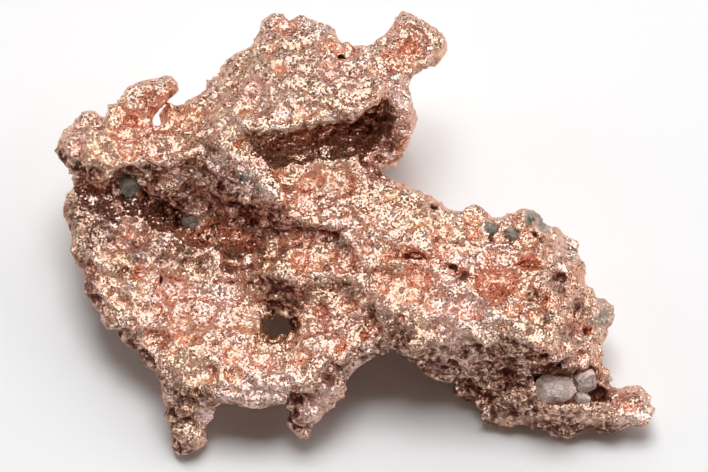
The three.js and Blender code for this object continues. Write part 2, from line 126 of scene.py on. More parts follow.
def evenly(route, gap):
    """Spots at even distances along a route."""
    route = np.asarray(route, float)
    at = np.concatenate([[0], np.cumsum(np.linalg.norm(np.diff(route, axis=0), axis=1))])
    t = np.linspace(0, at[-1], max(int(at[-1] / gap), 3))
    return np.column_stack([np.interp(t, at, route[:, k]) for k in range(2)])


class Clay:
    """A solid as a signed distance field in the face frame, negative inside."""

    def __init__(self, points, triangles):
        grid = openvdb.FloatGrid.createLevelSetFromPolygons(
            points,
            triangles=triangles.astype(np.uint32),
            transform=openvdb.createLinearTransform(voxelSize=STEP),
            halfWidth=BAND,
        )
        low, high = grid.evalActiveVoxelBoundingBox()
        self.low = np.array(low)
        self.field = np.zeros([int(b - a + 1) for a, b in zip(low, high)], np.float32)
        grid.copyToArray(self.field, ijk=low)

    def soften(self, reach):
        self.field = blurred(self.field, reach / STEP)

    def value(self, points, values=None):
        """The field, or other values on its grid, between the grid points."""
        values = self.field if values is None else values
        g = np.clip(points / STEP - self.low, 0, np.array(values.shape) - 1.001)
        base = g.astype(int)
        t = g - base
        total = 0
        for corner in np.ndindex(2, 2, 2):
            weight = np.prod([t[:, k] if c else 1 - t[:, k] for k, c in enumerate(corner)], axis=0)
            total = total + weight * values[tuple((base + corner).T)]
        return total

    def outward(self, points):
        """The direction out of the solid at each point."""
        probe = 1.5 * STEP
        slope = [
            self.value(points + probe * axis) - self.value(points - probe * axis) for axis in np.eye(3)
        ]
        slope = np.stack(slope, axis=1)
        return slope / np.maximum(np.linalg.norm(slope, axis=1, keepdims=True), 1e-6)

    def front(self, spots):
        """Where the front surface is at each (x, y), and the way it faces."""
        spots = np.asarray(spots, float)
        cells = np.rint(spots / STEP).astype(int) - self.low[:2]
        cells = np.clip(cells, 0, np.array(self.field.shape[:2]) - 1)
        columns = self.field[cells[:, 0], cells[:, 1]]
        solid = columns < 0
        top = columns.shape[1] - 1 - np.argmax(solid[:, ::-1], axis=1)
        top = np.where(solid.any(axis=1), top, columns.shape[1] // 2)
        rows = np.arange(len(spots))
        inner = columns[rows, top]
        outer = columns[rows, np.minimum(top + 1, columns.shape[1] - 1)]
        part = np.where(outer > inner, -inner / np.maximum(outer - inner, 1e-6), 0)
        height = (top + np.clip(part, 0, 1) + self.low[2]) * STEP
        points = np.column_stack([spots, height])
        return points, self.outward(points)

    def near(self, centre, reach):
        """The grid cells around a centre and their offsets from it."""
        first = np.floor((centre - reach) / STEP).astype(int) - self.low
        last = np.ceil((centre + reach) / STEP).astype(int) - self.low + 1
        first = np.clip(first, 0, self.field.shape)
        last = np.clip(last, 0, self.field.shape)
        window = tuple(slice(a, b) for a, b in zip(first, last))
        axes = [
            (np.arange(a, b) + low) * STEP - c
            for a, b, low, c in zip(first, last, self.low, centre)
        ]
        return window, np.meshgrid(*axes, indexing="ij", sparse=True)

    def ball(self, centre, radius, blend, add):
        window, (x, y, z) = self.near(centre, radius + blend + STEP)
        shape = np.sqrt(x * x + y * y + z * z) - radius
        self.field[window] = (join if add else cut)(self.field[window], shape, blend)

    def press(self, point, way, wide, deep, long=1.0, turn=0.0, rim=0.2):
        """A round or oval bowl pressed into the surface, with a raised rim."""
        radius = (wide * wide / 4 + deep * deep) / (2 * deep)
        along = np.array([math.cos(math.radians(turn)), math.sin(math.radians(turn)), 0])
        along = along - way * (along @ way)
        along /= max(np.linalg.norm(along), 1e-6)
        across = np.cross(way, along)
        window, (x, y, z) = self.near(point, 0.5 * wide * long + 1.4)
        a = (x * along[0] + y * along[1] + z * along[2]) / long
        b = x * across[0] + y * across[1] + z * across[2]
        c = x * way[0] + y * way[1] + z * way[2]
        out = np.sqrt(a * a + b * b)
        field = self.field[window]
        if rim > 0:
            ring = np.sqrt((out - wide / 2) ** 2 + c * c) - rim
            field = join(field, np.maximum(ring, field - 0.75 * rim), RIM_BLEND)
        bowl = np.sqrt(out * out + (c - radius + deep) ** 2) - radius
        bowl = np.maximum(bowl, np.maximum(c - 0.6, out - 0.56 * wide))
        self.field[window] = cut(field, bowl, PRESS_BLEND)

    def dish(self, x, y, wide, deep, long=1.0, turn=0.0, rim=0.2):
        points, ways = self.front([(x, y)])
        self.press(points[0], ways[0], wide, deep, long, turn, rim)

    def pit(self, x, y, wide, deep):
        points, ways = self.front([(x, y)])
        while deep > 0.5 and not self.thick_enough(points[0], ways[0], deep + THIN_METAL):
            deep -= 0.2
        for part in np.linspace(0, 1, 6):
            radius = wide / 2 * (1 - 0.35 * part)
            centre = points[0] + ways[0] * (0.3 - part * max(deep - radius, 0.1))
            self.ball(centre, radius, PIT_BLEND, add=False)

    def knob(self, x, y, wide, high):
        points, ways = self.front([(x, y)])
        self.ball(points[0] + ways[0] * (high - wide / 2), wide / 2, KNOB_BLEND, add=True)

    def mound(self, x, y, wide, high, long=1.0, turn=0.0):
        """A low swelling of the surface, round or oval."""
        points, _ = self.front([(x, y)])
        radius = (wide * wide / 4 + high * high) / (2 * high)
        c, s = math.cos(math.radians(turn)), math.sin(math.radians(turn))
        window, (dx, dy, dz) = self.near(points[0], 0.5 * wide * long + high + 1)
        out = np.sqrt(((dx * c + dy * s) / long) ** 2 + (dy * c - dx * s) ** 2)
        cap = np.sqrt(out * out + (dz - high + radius) ** 2) - radius
        cap = np.maximum(np.maximum(cap, -dz - 2.5), out - 0.6 * wide)
        self.field[window] = join(self.field[window], cap, MOUND_BLEND)

    def bead(self, x, y, wide):
        """A round bead that swells out of the rim."""
        points, _ = self.front([(x, y)])
        self.ball(points[0] - [0, 0, 0.35 * wide], wide / 2, BEAD_BLEND, add=True)

    def band(self, route, wide, raised):
        """A rolled edge: a tube along a route, its middle raised above the surface at the two ends."""
        spots = evenly(route, TRACE_STEP)
        ends, _ = self.front([spots[0], spots[-1]])
        heights = np.linspace(ends[0, 2], ends[1, 2], len(spots)) + raised
        for x, y, z in np.column_stack([spots, heights]):
            self.ball(np.array([x, y, z]), wide / 2, KNOB_BLEND, add=True)

    def strand(self, route, wide, lift):
        """A fold that bridges a hollow from its first point to its last, filled down to the solid."""
        spots = evenly(route, STRAND_STEP)
        ends, _ = self.front([spots[0], spots[-1]])
        heights = np.linspace(ends[0, 2], ends[1, 2] + lift, len(spots))
        floor, _ = self.front(spots)
        for (x, y), top, low in zip(spots, heights, floor[:, 2]):
            for z in np.arange(min(low, top), top, STRAND_LAYER):
                self.ball(np.array([x, y, z - 0.35 * wide]), wide / 2, STRAND_BLEND, add=True)
            self.ball(np.array([x, y, top - 0.5 * wide]), wide / 2, STRAND_BLEND, add=True)

    def thick_enough(self, point, way, least):
        """Whether there is metal for at least this far behind a point of the surface."""
        depths = np.linspace(0.3, 1, 4)[:, None] * least
        return bool((self.value(point - depths * way) < -0.12).all())

    def line(self, route, wide, high):
        """A ridge along a route, or a crease where high is negative, thinning at its ends."""
        spots = evenly(route, LINE_STEP)
        t = LINE_STEP * np.arange(len(spots))
        spots[:, 1] += 0.16 * np.sin(2.1 * t + route[0][0]) + 0.1 * np.sin(5.3 * t)
        points, ways = self.front(spots)
        fade = np.clip(np.minimum(t, t[::-1]) / max(0.3 * t[-1], 0.4), 0, 1) ** 0.6
        steady = np.abs(np.gradient(points[:, 2])) < 0.4
        for point, way, f in zip(points[steady], ways[steady], fade[steady]):
            radius = wide / 2 * (0.45 + 0.55 * f)
            lift = abs(high) * f - radius
            self.ball(point + way * math.copysign(lift, lift * high), radius, PIT_BLEND, add=high > 0)

    def slot(self, route, wide):
        """A narrow gap right through the solid, seen from the front."""
        across, up = ((np.arange(self.field.shape[k]) + self.low[k]) * STEP for k in (0, 1))
        reach = wide + 0.7
        for x, y in evenly(route, TRACE_STEP):
            i = np.abs(across - x) < reach
            j = np.abs(up - y) < reach
            window = np.ix_(i, j, np.arange(self.field.shape[2]))
            shape = np.hypot((across - x)[i][:, None, None], (up - y)[j][None, :, None]) - wide / 2
            self.field[window] = cut(self.field[window], shape + 0 * self.field[window], 0.25)

    def surface_spots(self, count, rng):
        """Points spread over the whole surface, and the way each faces."""
        cells = np.argwhere(np.abs(self.field) < 0.5 * STEP)
        cells = cells[rng.choice(len(cells), count, replace=False)]
        points = (cells + self.low) * STEP
        return points.astype(float), self.outward(points.astype(float))

    def skin(self):
        """The surface as points and quads, its largest piece only."""
        grid = openvdb.FloatGrid(BAND * STEP)
        grid.copyFromArray(np.ascontiguousarray(self.field), ijk=tuple(int(v) for v in self.low))
        grid.transform = openvdb.createLinearTransform(voxelSize=STEP)
        points, quads = grid.convertToQuads(0)
        points = np.asarray(points, float)
        quads = largest_piece(np.asarray(quads, int), len(points))
        used, flat = np.unique(quads, return_inverse=True)
        points = points[used]
        quads = flat.reshape(-1, 4)
        p, q, r = (points[quads[:, k]] for k in range(3))
        if np.einsum("ij,ij->", p, np.cross(q, r)) < 0:
            quads = quads[:, ::-1]
        return points, quads


def largest_piece(quads, count):
    """The quads of the largest connected piece."""
    label = np.arange(count)
    while True:
        before = label.copy()
        lowest = label[quads].min(axis=1)
        for k in range(4):
            np.minimum.at(label, quads[:, k], lowest)
        label = label[label]
        if (label == before).all():
            break
    owner = label[quads[:, 0]]
    return quads[owner == np.bincount(owner).argmax()]


ROCKS = {
    "rock_pocket_main": "host_rock_grey",
    "rock_pocket_side": "host_rock_grey",
    "rock_pocket_chip": "host_rock_grey",
    "rock_crease_left": "host_rock_green",
    "rock_crease_deep": "host_rock_green",
    "rock_shoulder_left": "host_rock_green",
    "rock_shoulder_right": "host_rock_green",
}


# ---- the nugget's own features, by region, in millimetres ----------------------------------------
def each(work, rows, *same, **named):
    """The same work at each row, which starts with x and y; what is the same for all comes after."""
    for row in rows:
        work(*row, *same, **named)


def lobe_and_hook(clay):
    each(clay.knob, [(-36, 16, 2.8), (-39, 13.5, 2.4), (-33, 14.8, 1.8), (-39.5, 10.5, 2)], 0.6)
    each(clay.dish, [
        (-37.5, 12, 2.2), (-35, 12.5, 2), (-33, 10.5, 2.4), (-36.5, 9, 2.2), (-31, 11.5, 2.2),
    ], 0.4)
    clay.dish(-34.5, 13.8, 1.8, 0.6)
    clay.line([(-40, 10), (-37.5, 7.5), (-35, 6.5), (-32.5, 7)], 0.9, -1.2)
    # the hook: a thick band over an open pocket, with a slit behind its tip
    clay.band([
        (-32.5, 15), (-31, 17.5), (-29.5, 19.5), (-27.5, 20.4), (-25.5, 20.4), (-24.6, 19.7),
        (-25, 18.8),
    ], 1.7, -0.2)
    each(clay.knob, [(-25.2, 16.2), (-24, 16), (-23, 17), (-22, 17.2), (-25, 15)], 1.4, 0.6)
    clay.slot([(-22.7, 19.9), (-23.2, 19)], 1.5)
    clay.slot([(-23.4, 18.9), (-24.6, 18)], 1.3)
    clay.slot([(-24.6, 18), (-25.8, 17.4), (-26.5, 16.4), (-26.6, 15)], 1.0)
    clay.dish(-28.5, 12, 3, 0.9)
    clay.dish(-30, 15.5, 1.8, 0.7)
    clay.dish(-24, 13.5, 2.2, 0.5)
    clay.line([(-24.5, 15), (-22, 15), (-20, 14)], 0.8, -0.8)


def brow(clay):
    clay.line([
        (-15, 12.5), (-13, 12.8), (-10.5, 14), (-7.5, 15.2), (-4, 15.7), (-1, 16), (1, 16.5),
        (2.5, 17.5), (3.3, 18.8), (3.5, 20.5),
    ], 1.2, 0.35)
    clay.dish(0, 18.5, 3.4, 0.9, long=1.8, turn=20)
    clay.dish(5, 23, 3.4, 0.8)
    clay.pit(7.5, 25.5, 2, 1.5)
    clay.dish(10.5, 26, 2.4, 0.5)
    clay.pit(9.5, 27, 0.8, 0.8)
    clay.pit(10, 22.5, 0.9, 1.4)
    clay.pit(-11, 25, 1.4, 0.8)
    clay.pit(1.5, 25, 0.8, 0.8)
    clay.knob(-3.5, 26.5, 1.6, 1)
    clay.knob(-1, 25.5, 1.6, 0.7)
    each(clay.dish, [
        (-9, 28, 2.4), (-6.5, 24, 2.2), (-13.5, 19.5, 2.4), (-7, 20, 2.8), (-21, 16, 2.2),
        (-19, 13.5, 2.4), (-10, 22, 2), (-3, 22, 2.6), (-16, 16.5, 2.6), (-11, 17, 2.4),
    ], 0.35)


def hollow_under_brow(clay):
    clay.line([(-12, 11.8), (-7, 13.2), (-2, 14.6), (3, 14.6)], 1.8, -1.2)
    each(clay.knob, [(-1, 12, 1.4), (1, 12, 1.6), (3, 12, 1.6), (-3, 12.4, 1.4), (-5.5, 11.5, 1.6)], 0.7)
    each(clay.knob, [
        (-8, 11), (-6.5, 12), (-4, 11.2), (-2, 13), (0, 10.8), (2, 10.8), (-5, 10), (4, 13.2),
        (-8.5, 9.8),
    ], 1.2, 0.6)
    clay.knob(6, 13, 2.6, 0.8)
    clay.dish(3.5, 17.5, 1.8, 1, rim=0)
    clay.dish(-2, 9, 3, 0.9, long=1.7, turn=-10)


STRANDS = [(-29, 9), (-27, 10.5), (-24.5, 11.5), (-21.5, 12.5), (-18.5, 12.5)]


def strands_into_crease(clay):
    """Folds that run from the brow's left end down to the right, into the crease."""
    for x, y in STRANDS:
        clay.strand([(x, y + 0.5), (x + 4.5, y - 2.8), (x + 8.5, y - 7)], 3.4, lift=2.2)


def ground_below_crease(clay):
    each(clay.mound, [
        (-35, 3, 6, 1.5), (-31.5, 1.5, 7, 2.2), (-28, -1, 7, 2.2), (-24.5, -3.8, 7, 1.8),
        (-20, -4.5, 6, 1.2), (-33, -2.5, 6, 0.8),
    ], long=1.2, turn=-35)


def floor_of_hollow(clay):
    each(clay.mound, [(-9, 7.5, 6.5, 1.5), (-4.5, 9, 6, 2), (-1, 9, 4.5, 1.8)], long=1.2)


def lip_of_brow(clay):
    """The rolled edge of the brow, which bulges down over its hollow."""
    clay.band([
        (-10, 14.8), (-7.5, 15), (-5, 15.8), (-2, 16.2), (0.5, 16.7), (2.4, 17.8), (3.2, 19.5),
    ], 2, -1.1)


def long_crease(clay):
    each(clay.pit, [
        (-28, 5.5, 1.6, 1.6), (-25.5, 3.5, 2.2, 1.8), (-24, 1.8, 2, 1.8), (-19, 1.3, 1.5, 1.2),
        (-16.5, 3.8, 1.8, 1.6), (-11.5, 5.3, 1, 1.4),
    ])
    for x, y in STRANDS[1:]:
        clay.line([(x + 0.5, y - 1.5), (x + 4, y - 4), (x + 7, y - 6.5)], 0.8, -0.6)
    # the slanting fold and the gully below it
    clay.line([(-16.5, 9.8), (-13, 7.5), (-9.5, 4.5), (-7.5, 2.5)], 1.4, 0.5)
    clay.line([(-16, 8.3), (-14, 6.5), (-12, 5), (-9.5, 3)], 0.9, -1.7)


def basin(clay):
    clay.dish(-17, -8.5, 4.4, 0.8, long=1.6, turn=-8)
    clay.line([(-18.5, -6.5), (-15.5, -6), (-13, -7), (-12, -8.5)], 0.7, -1)
    each(clay.dish, [
        (-19.5, -3.5, 3, 0.6), (-25, -7.5, 3.8, 0.7), (-32, -5.5, 2.6, 0.7),
        (-26.5, -9.8, 1.4, 0.6), (-30, -11.5, 1.4, 0.5), (-19, -10.5, 1.6, 0.5),
        (-24.5, -15, 2.4, 0.9), (-12.5, -16, 3.4, 0.7), (-17, -16.5, 2.4, 0.6),
        (-21, -21, 1.4, 0.6), (-31.5, 1.5, 2.4, 0.6), (-29, -0.5, 2.2, 0.5), (-34, -2.5, 2.2, 0.6),
        (-27.5, -3.5, 2.4, 0.5), (-22.5, -11.5, 2.4, 0.5), (-27.5, -13.5, 2, 0.4),
        (-14, -20, 2, 0.4), (-20, -25, 2, 0.6),
    ])
    clay.pit(-21, -4.7, 0.8, 0.7)
    clay.line([(-32.5, -5.5), (-31, -4.5), (-28.5, -4.8)], 0.6, -0.8)
    clay.line([(-24, -3.5), (-26, -5), (-26, -7), (-25, -8.5)], 0.5, -0.6)
    # beads down the left rim
    for x, y, wide in [
        (-37.3, 3.5, 2.2), (-36.8, 1, 2), (-36.3, -2, 2.4), (-35, -6.8, 2.6), (-34, -9, 2.2),
        (-32.4, -11.2, 2.4), (-30, -13.8, 2.2), (-27.5, -16.4, 2.4), (-25.5, -18.5, 2),
        (-24.8, -20.5, 2.2),
    ]:
        clay.bead(x, y, 1.3 * wide)


def middle(clay):
    for route in [
        [(-10, 0.5), (-8, 1.5), (-6, 0.6), (-3, 0.5)],
        [(-9, -6.5), (-6.5, -6), (-3.5, -6), (-0.5, -6)],
        [(2.5, -2.5), (6.5, -2.5), (10, -3), (12, -3)], [(7, -3.3), (8.5, -4), (9.5, -5)],
    ]:
        clay.line(route, 0.7, -0.7)
    clay.line([(12, -3.5), (14, -4.5), (15.5, -5.6)], 1.2, -1.2)
    each(clay.dish, [
        (-9.5, 7, 3.2, 0.6), (4, -5, 3, 0.9), (8.5, -5.6, 2.8, 0.7), (-1, 3, 2.4, 0.5),
        (3.5, 1, 2.4, 0.5), (-3, -2, 2.6, 0.6), (1.5, -1.5, 2.2, 0.5), (-7.5, -3.5, 2.4, 0.6),
        (-1, -8.5, 2.6, 0.6), (6, -8.5, 2.4, 0.6), (3, -12, 2.6, 0.6), (-4.5, -10, 2, 0.5),
    ])
    each(clay.knob, [
        (-4, 3, 1.6, 0.8), (-13, 3.5, 2.4, 0.8), (8.5, 0.5, 3.6, 0.6), (2, 4.5, 2.4, 0.5),
        (-2, -16.8, 2.4, 0.7),
    ])
    each(clay.pit, [
        (11, 4, 1, 1.4), (-14, -4.3, 0.8, 0.9), (-1.8, -14.8, 1.2, 1.2), (1.4, -13.4, 1.3, 1.3),
        (-5, -20.5, 0.8, 1.2), (-3, -19.5, 0.8, 1.2), (-8, -20.5, 0.8, 1),
    ])
    clay.line([(-4.4, -16), (-4.7, -18)], 0.5, -1)


def right_shoulder(clay):
    clay.dish(19, -6.4, 4.4, 1.3, long=1.2)
    clay.dish(19.5, -7.6, 2.2, 0.7)
    clay.line([(17, -6.8), (18.5, -6.2), (20.5, -6)], 0.6, 0.4)
    each(clay.dish, [
        (15.3, -9.6, 4.2, 0.8), (11.2, -9, 3.4, 0.9), (12.6, -12.5, 3.6, 0.5), (16, 0.5, 3, 0.6),
        (23.5, -3.2, 2.4, 0.6), (21, -10, 2.4, 0.6), (24.3, -11, 2.2, 0.6), (20.5, -14, 2.4, 0.6),
        (18.5, -2.5, 2.4, 0.5), (29, -2.5, 2.2, 0.5),
    ])
    for route in [
        [(21.5, -3.2), (23, -3.6), (25, -4), (26, -4.2)],
        [(21.5, -7.2), (23, -8), (25, -8.5), (26.5, -8), (27, -7)],
        [(19, -11.2), (20, -12.5), (21, -11.2)], [(24.5, -12), (27, -12)],
    ]:
        clay.line(route, 0.8, -0.7)
    each(clay.pit, [
        (27, -5.4, 1.2, 1.7), (28.2, -5.2, 1.2, 1.7), (30.3, -9, 1, 2), (30, -10.5, 1, 2),
        (31.8, -12.5, 1.8, 2.2), (32.6, -14, 1.5, 2), (24.5, 0.4, 0.9, 1.4), (25.5, -0.4, 0.9, 1.4),
    ])
    each(clay.knob, [
        (16, 3, 2, 0.8), (23, 2.4, 2.4, 0.9), (19.5, 1.8, 1.6, 0.6), (24.5, -6.5, 1.8, 0.6),
        (27.5, -11, 1.6, 0.6),
    ])


def edge_above_front(clay):
    """The brink where the upper surface turns down into the front face."""
    clay.band([(8, -14.6), (11, -13.4), (15, -13.5), (19, -13.2), (22, -14)], 1.7, -0.6)
    clay.band([(-10.5, -5.4), (-8, -6), (-5, -5.6), (-1.5, -5.4), (1, -6.2)], 1.4, -0.3)
    clay.band([(-10, 1.6), (-7.5, 2.3), (-4.5, 1.6), (-2, 1.4)], 1.4, -0.3)


def pocket_and_ledge(clay):
    clay.dish(25, -15.8, 3, 1.3, long=1.6, turn=-5)
    clay.line([(24.3, -17.4), (26, -17.9), (28.5, -17.6)], 0.8, -1.7)
    clay.dish(19.5, -15.6, 3, 1.3)
    clay.dish(20.5, -18.5, 3, 1.1)
    clay.dish(31, -16.3, 2.2, 1.1)
    each(clay.knob, [(32.6, -17.4), (34, -18.5), (33.4, -19.6), (30.5, -14)], 1.5, 0.7)
    clay.pit(33.4, -21.2, 2.6, 2.4)
    clay.pit(32.7, -19.2, 1.4, 1.6)
    clay.line([(22, -23.8), (25, -22.6), (27.5, -22.4), (30.5, -23), (34, -23), (38, -20.8)], 1.1, 0.45)
    clay.dish(37, -22.6, 3, 0.9, long=1.3, turn=20)
    each(clay.knob, [(19.5, -25.6, 3), (27.5, -26.4, 4), (35.5, -25.6, 3)], 0.3)
    each(clay.dish, [
        (13.5, -17, 2.4), (15, -20, 2.8), (12.5, -20.6, 2.2), (24, -20.5, 2.2), (17.5, -21.5, 2.4),
    ], 0.7)


SETTING_GAP = 1.6  # spacing of the beads round a grain, mm
SETTING_AWAY = 0.4  # how far outside the grain's box they stand, mm


def settings_of_rock(clay):
    """Beads of copper grown round the grains of rock, which hold them."""
    rocks = [node_mesh(name)[0] for name in ROCKS]
    boxes = [(points.min(axis=0), points.max(axis=0)) for points in rocks]
    for low, high in boxes:
        middle = (low + high) / 2
        half = (high - low) / 2
        count = int(2 * math.pi * half[:2].mean() / SETTING_GAP) + 3
        for turn in np.linspace(0, 2 * math.pi, count, endpoint=False):
            x, y = middle[:2] + np.array([math.cos(turn), math.sin(turn)]) * (half[:2] + SETTING_AWAY)
            inside = [(a[0] < x < b[0]) and (a[1] < y < b[1]) for a, b in boxes]
            if not any(inside):
                centre = np.array([x, y, middle[2] + 0.1 * half[2]])
                clay.ball(centre, 0.24 * half[0] + 0.2, KNOB_BLEND, add=True)


def feet(clay):
    each(clay.bead, [(-24.8, -22), (-24.5, -24.2), (-23.8, -26.4), (-22.8, -27.6), (-21.5, -27.5)], 2)
    each(clay.pit, [(-19.5, -25.3, 1, 0.6), (-7, -22.4, 1, 0.7)])
    each(clay.bead, [(-7.2, -25, 3.6), (-6.4, -23.3, 4.6)])
    clay.band([(-18.5, -21.2), (-16.5, -21.8), (-14, -21.6), (-11.5, -21.8), (-9.5, -21.6)], 1.7, -0.2)


REGIONS = [edge_above_front, lobe_and_hook, brow, hollow_under_brow, long_crease, basin, middle]
REGIONS += [right_shoulder, settings_of_rock, pocket_and_ledge, feet]


# ---- what repeats all over the copper, in millimetres; depth is a share of the width -------------
BROAD_DISHES = {"count": 330, "widths": (2.6, 5.0), "depth": (0.13, 0.2)}
SMALL_DISHES = {"count": 900, "widths": (1.4, 3.2), "depth": (0.18, 0.3)}
LOOSE_BEADS = {"count": 260, "widths": (0.8, 1.4)}
FINE_PITS = {"count": 260, "widths": (0.5, 0.9)}
NUGGET_SEED = 11
FIRST_ROCK_SEED = 20
SOUND_METAL = 1.2  # what a scattered dish or pit leaves behind it


def scattered_dishes(clay, rng, count, widths, depth):
    points, ways = clay.surface_spots(count, rng)
    for point, way in zip(points, ways):
        wide = rng.uniform(*widths)
        deep = wide * rng.uniform(*depth)
        if not clay.thick_enough(point, way, SOUND_METAL + deep):
            continue
        long = rng.uniform(1, 1.6)
        turn = rng.normal(-8, 35)
        clay.press(point, way, wide, deep, long, turn, rim=rng.uniform(0, 0.28))


def scattered_beads(clay, rng, count, widths):
    points, ways = clay.surface_spots(count, rng)
    for point, way in zip(points, ways):
        radius = rng.uniform(*widths) / 2
        clay.ball(point - way * radius * rng.uniform(0.5, 0.9), radius, 0.45, add=True)


def scattered_pits(clay, rng, count, widths):
    points, ways = clay.surface_spots(count, rng)
    for point, way in zip(points, ways):
        radius = rng.uniform(*widths) / 2
        if clay.thick_enough(point, way, SOUND_METAL + 2 * radius):
            clay.ball(point - way * radius * rng.uniform(0.1, 0.8), radius, 0.2, add=False)


# ---- nodes -----------------------------------------------------------------------------------------
def put(tree, kind, inputs=None, **settings):
    """A new node with its settings, and its inputs set or linked."""
    node = tree.nodes.new(kind)
    for key, value in settings.items():
        setattr(node, key, value)
    for key, value in (inputs or {}).items():
        if isinstance(value, bpy.types.NodeSocket):
            tree.links.new(value, node.inputs[key])
        else:
            node.inputs[key].default_value = value
    return node


def worked(tree, operation, a, b=0.0, clamp=False):
    return put(tree, "ShaderNodeMath", {0: a, 1: b}, operation=operation, use_clamp=clamp).outputs[0]


def plus(tree, a, b, clamp=False):
    return worked(tree, "ADD", a, b, clamp)


def minus(tree, a, b, clamp=False):
    return worked(tree, "SUBTRACT", a, b, clamp)


def times(tree, a, b):
    return worked(tree, "MULTIPLY", a, b)


def larger(tree, a, b):
    return worked(tree, "MAXIMUM", a, b)


def vectors(tree, operation, a, b):
    return put(tree, "ShaderNodeVectorMath", {0: a, 1: b}, operation=operation)


def ramp(tree, value, low, high, to_low=0.0, to_high=1.0):
    inputs = {"Value": value, "From Min": low, "From Max": high, "To Min": to_low, "To Max": to_high}
    return put(tree, "ShaderNodeMapRange", inputs, interpolation_type="SMOOTHSTEP").outputs[0]


MEAN_OF_RANDOM = (0.5, 0.5, 0.5)


def tilted_facets(tree, place, frequency):
    """Height of a surface broken into small flat facets, each tilted its own way."""
    inputs = {"Vector": place, "Scale": frequency}
    cells = put(tree, "ShaderNodeTexVoronoi", inputs, feature="F1")
    own = vectors(tree, "SUBTRACT", cells.outputs["Color"], MEAN_OF_RANDOM)
    offset = vectors(tree, "SUBTRACT", place, cells.outputs["Position"])
    tilt = vectors(tree, "DOT_PRODUCT", own.outputs[0], offset.outputs[0])
    return times(tree, tilt.outputs["Value"], frequency)


def scaled(tree, vector, factor):
    inputs = {0: vector, "Scale": factor}
    return put(tree, "ShaderNodeVectorMath", inputs, operation="SCALE").outputs[0]


SKIN_SIZES = {
    "Dimple width": 2.4,
    "Dimple depth": 0.56,
    "Scale overlap": 0.5,
    "Small dimple width": 1.15,
    "Small dimple depth": 0.13,
    "Wrinkle spacing": 1.7,
    "Wrinkle height": 0.17,
    "Grain spacing": 0.9,
    "Grain height": 0.07,
    "Flat foot height": 0.7,
}


BEND = 2.6  # how far the dimples' pattern is bent out of line, mm
DIMPLE_SQUEEZE = 0.75  # under 1, the dimples are longer across the face than up it
CALM_SHARE = 0.7  # how much of the skin's relief a calm spot loses


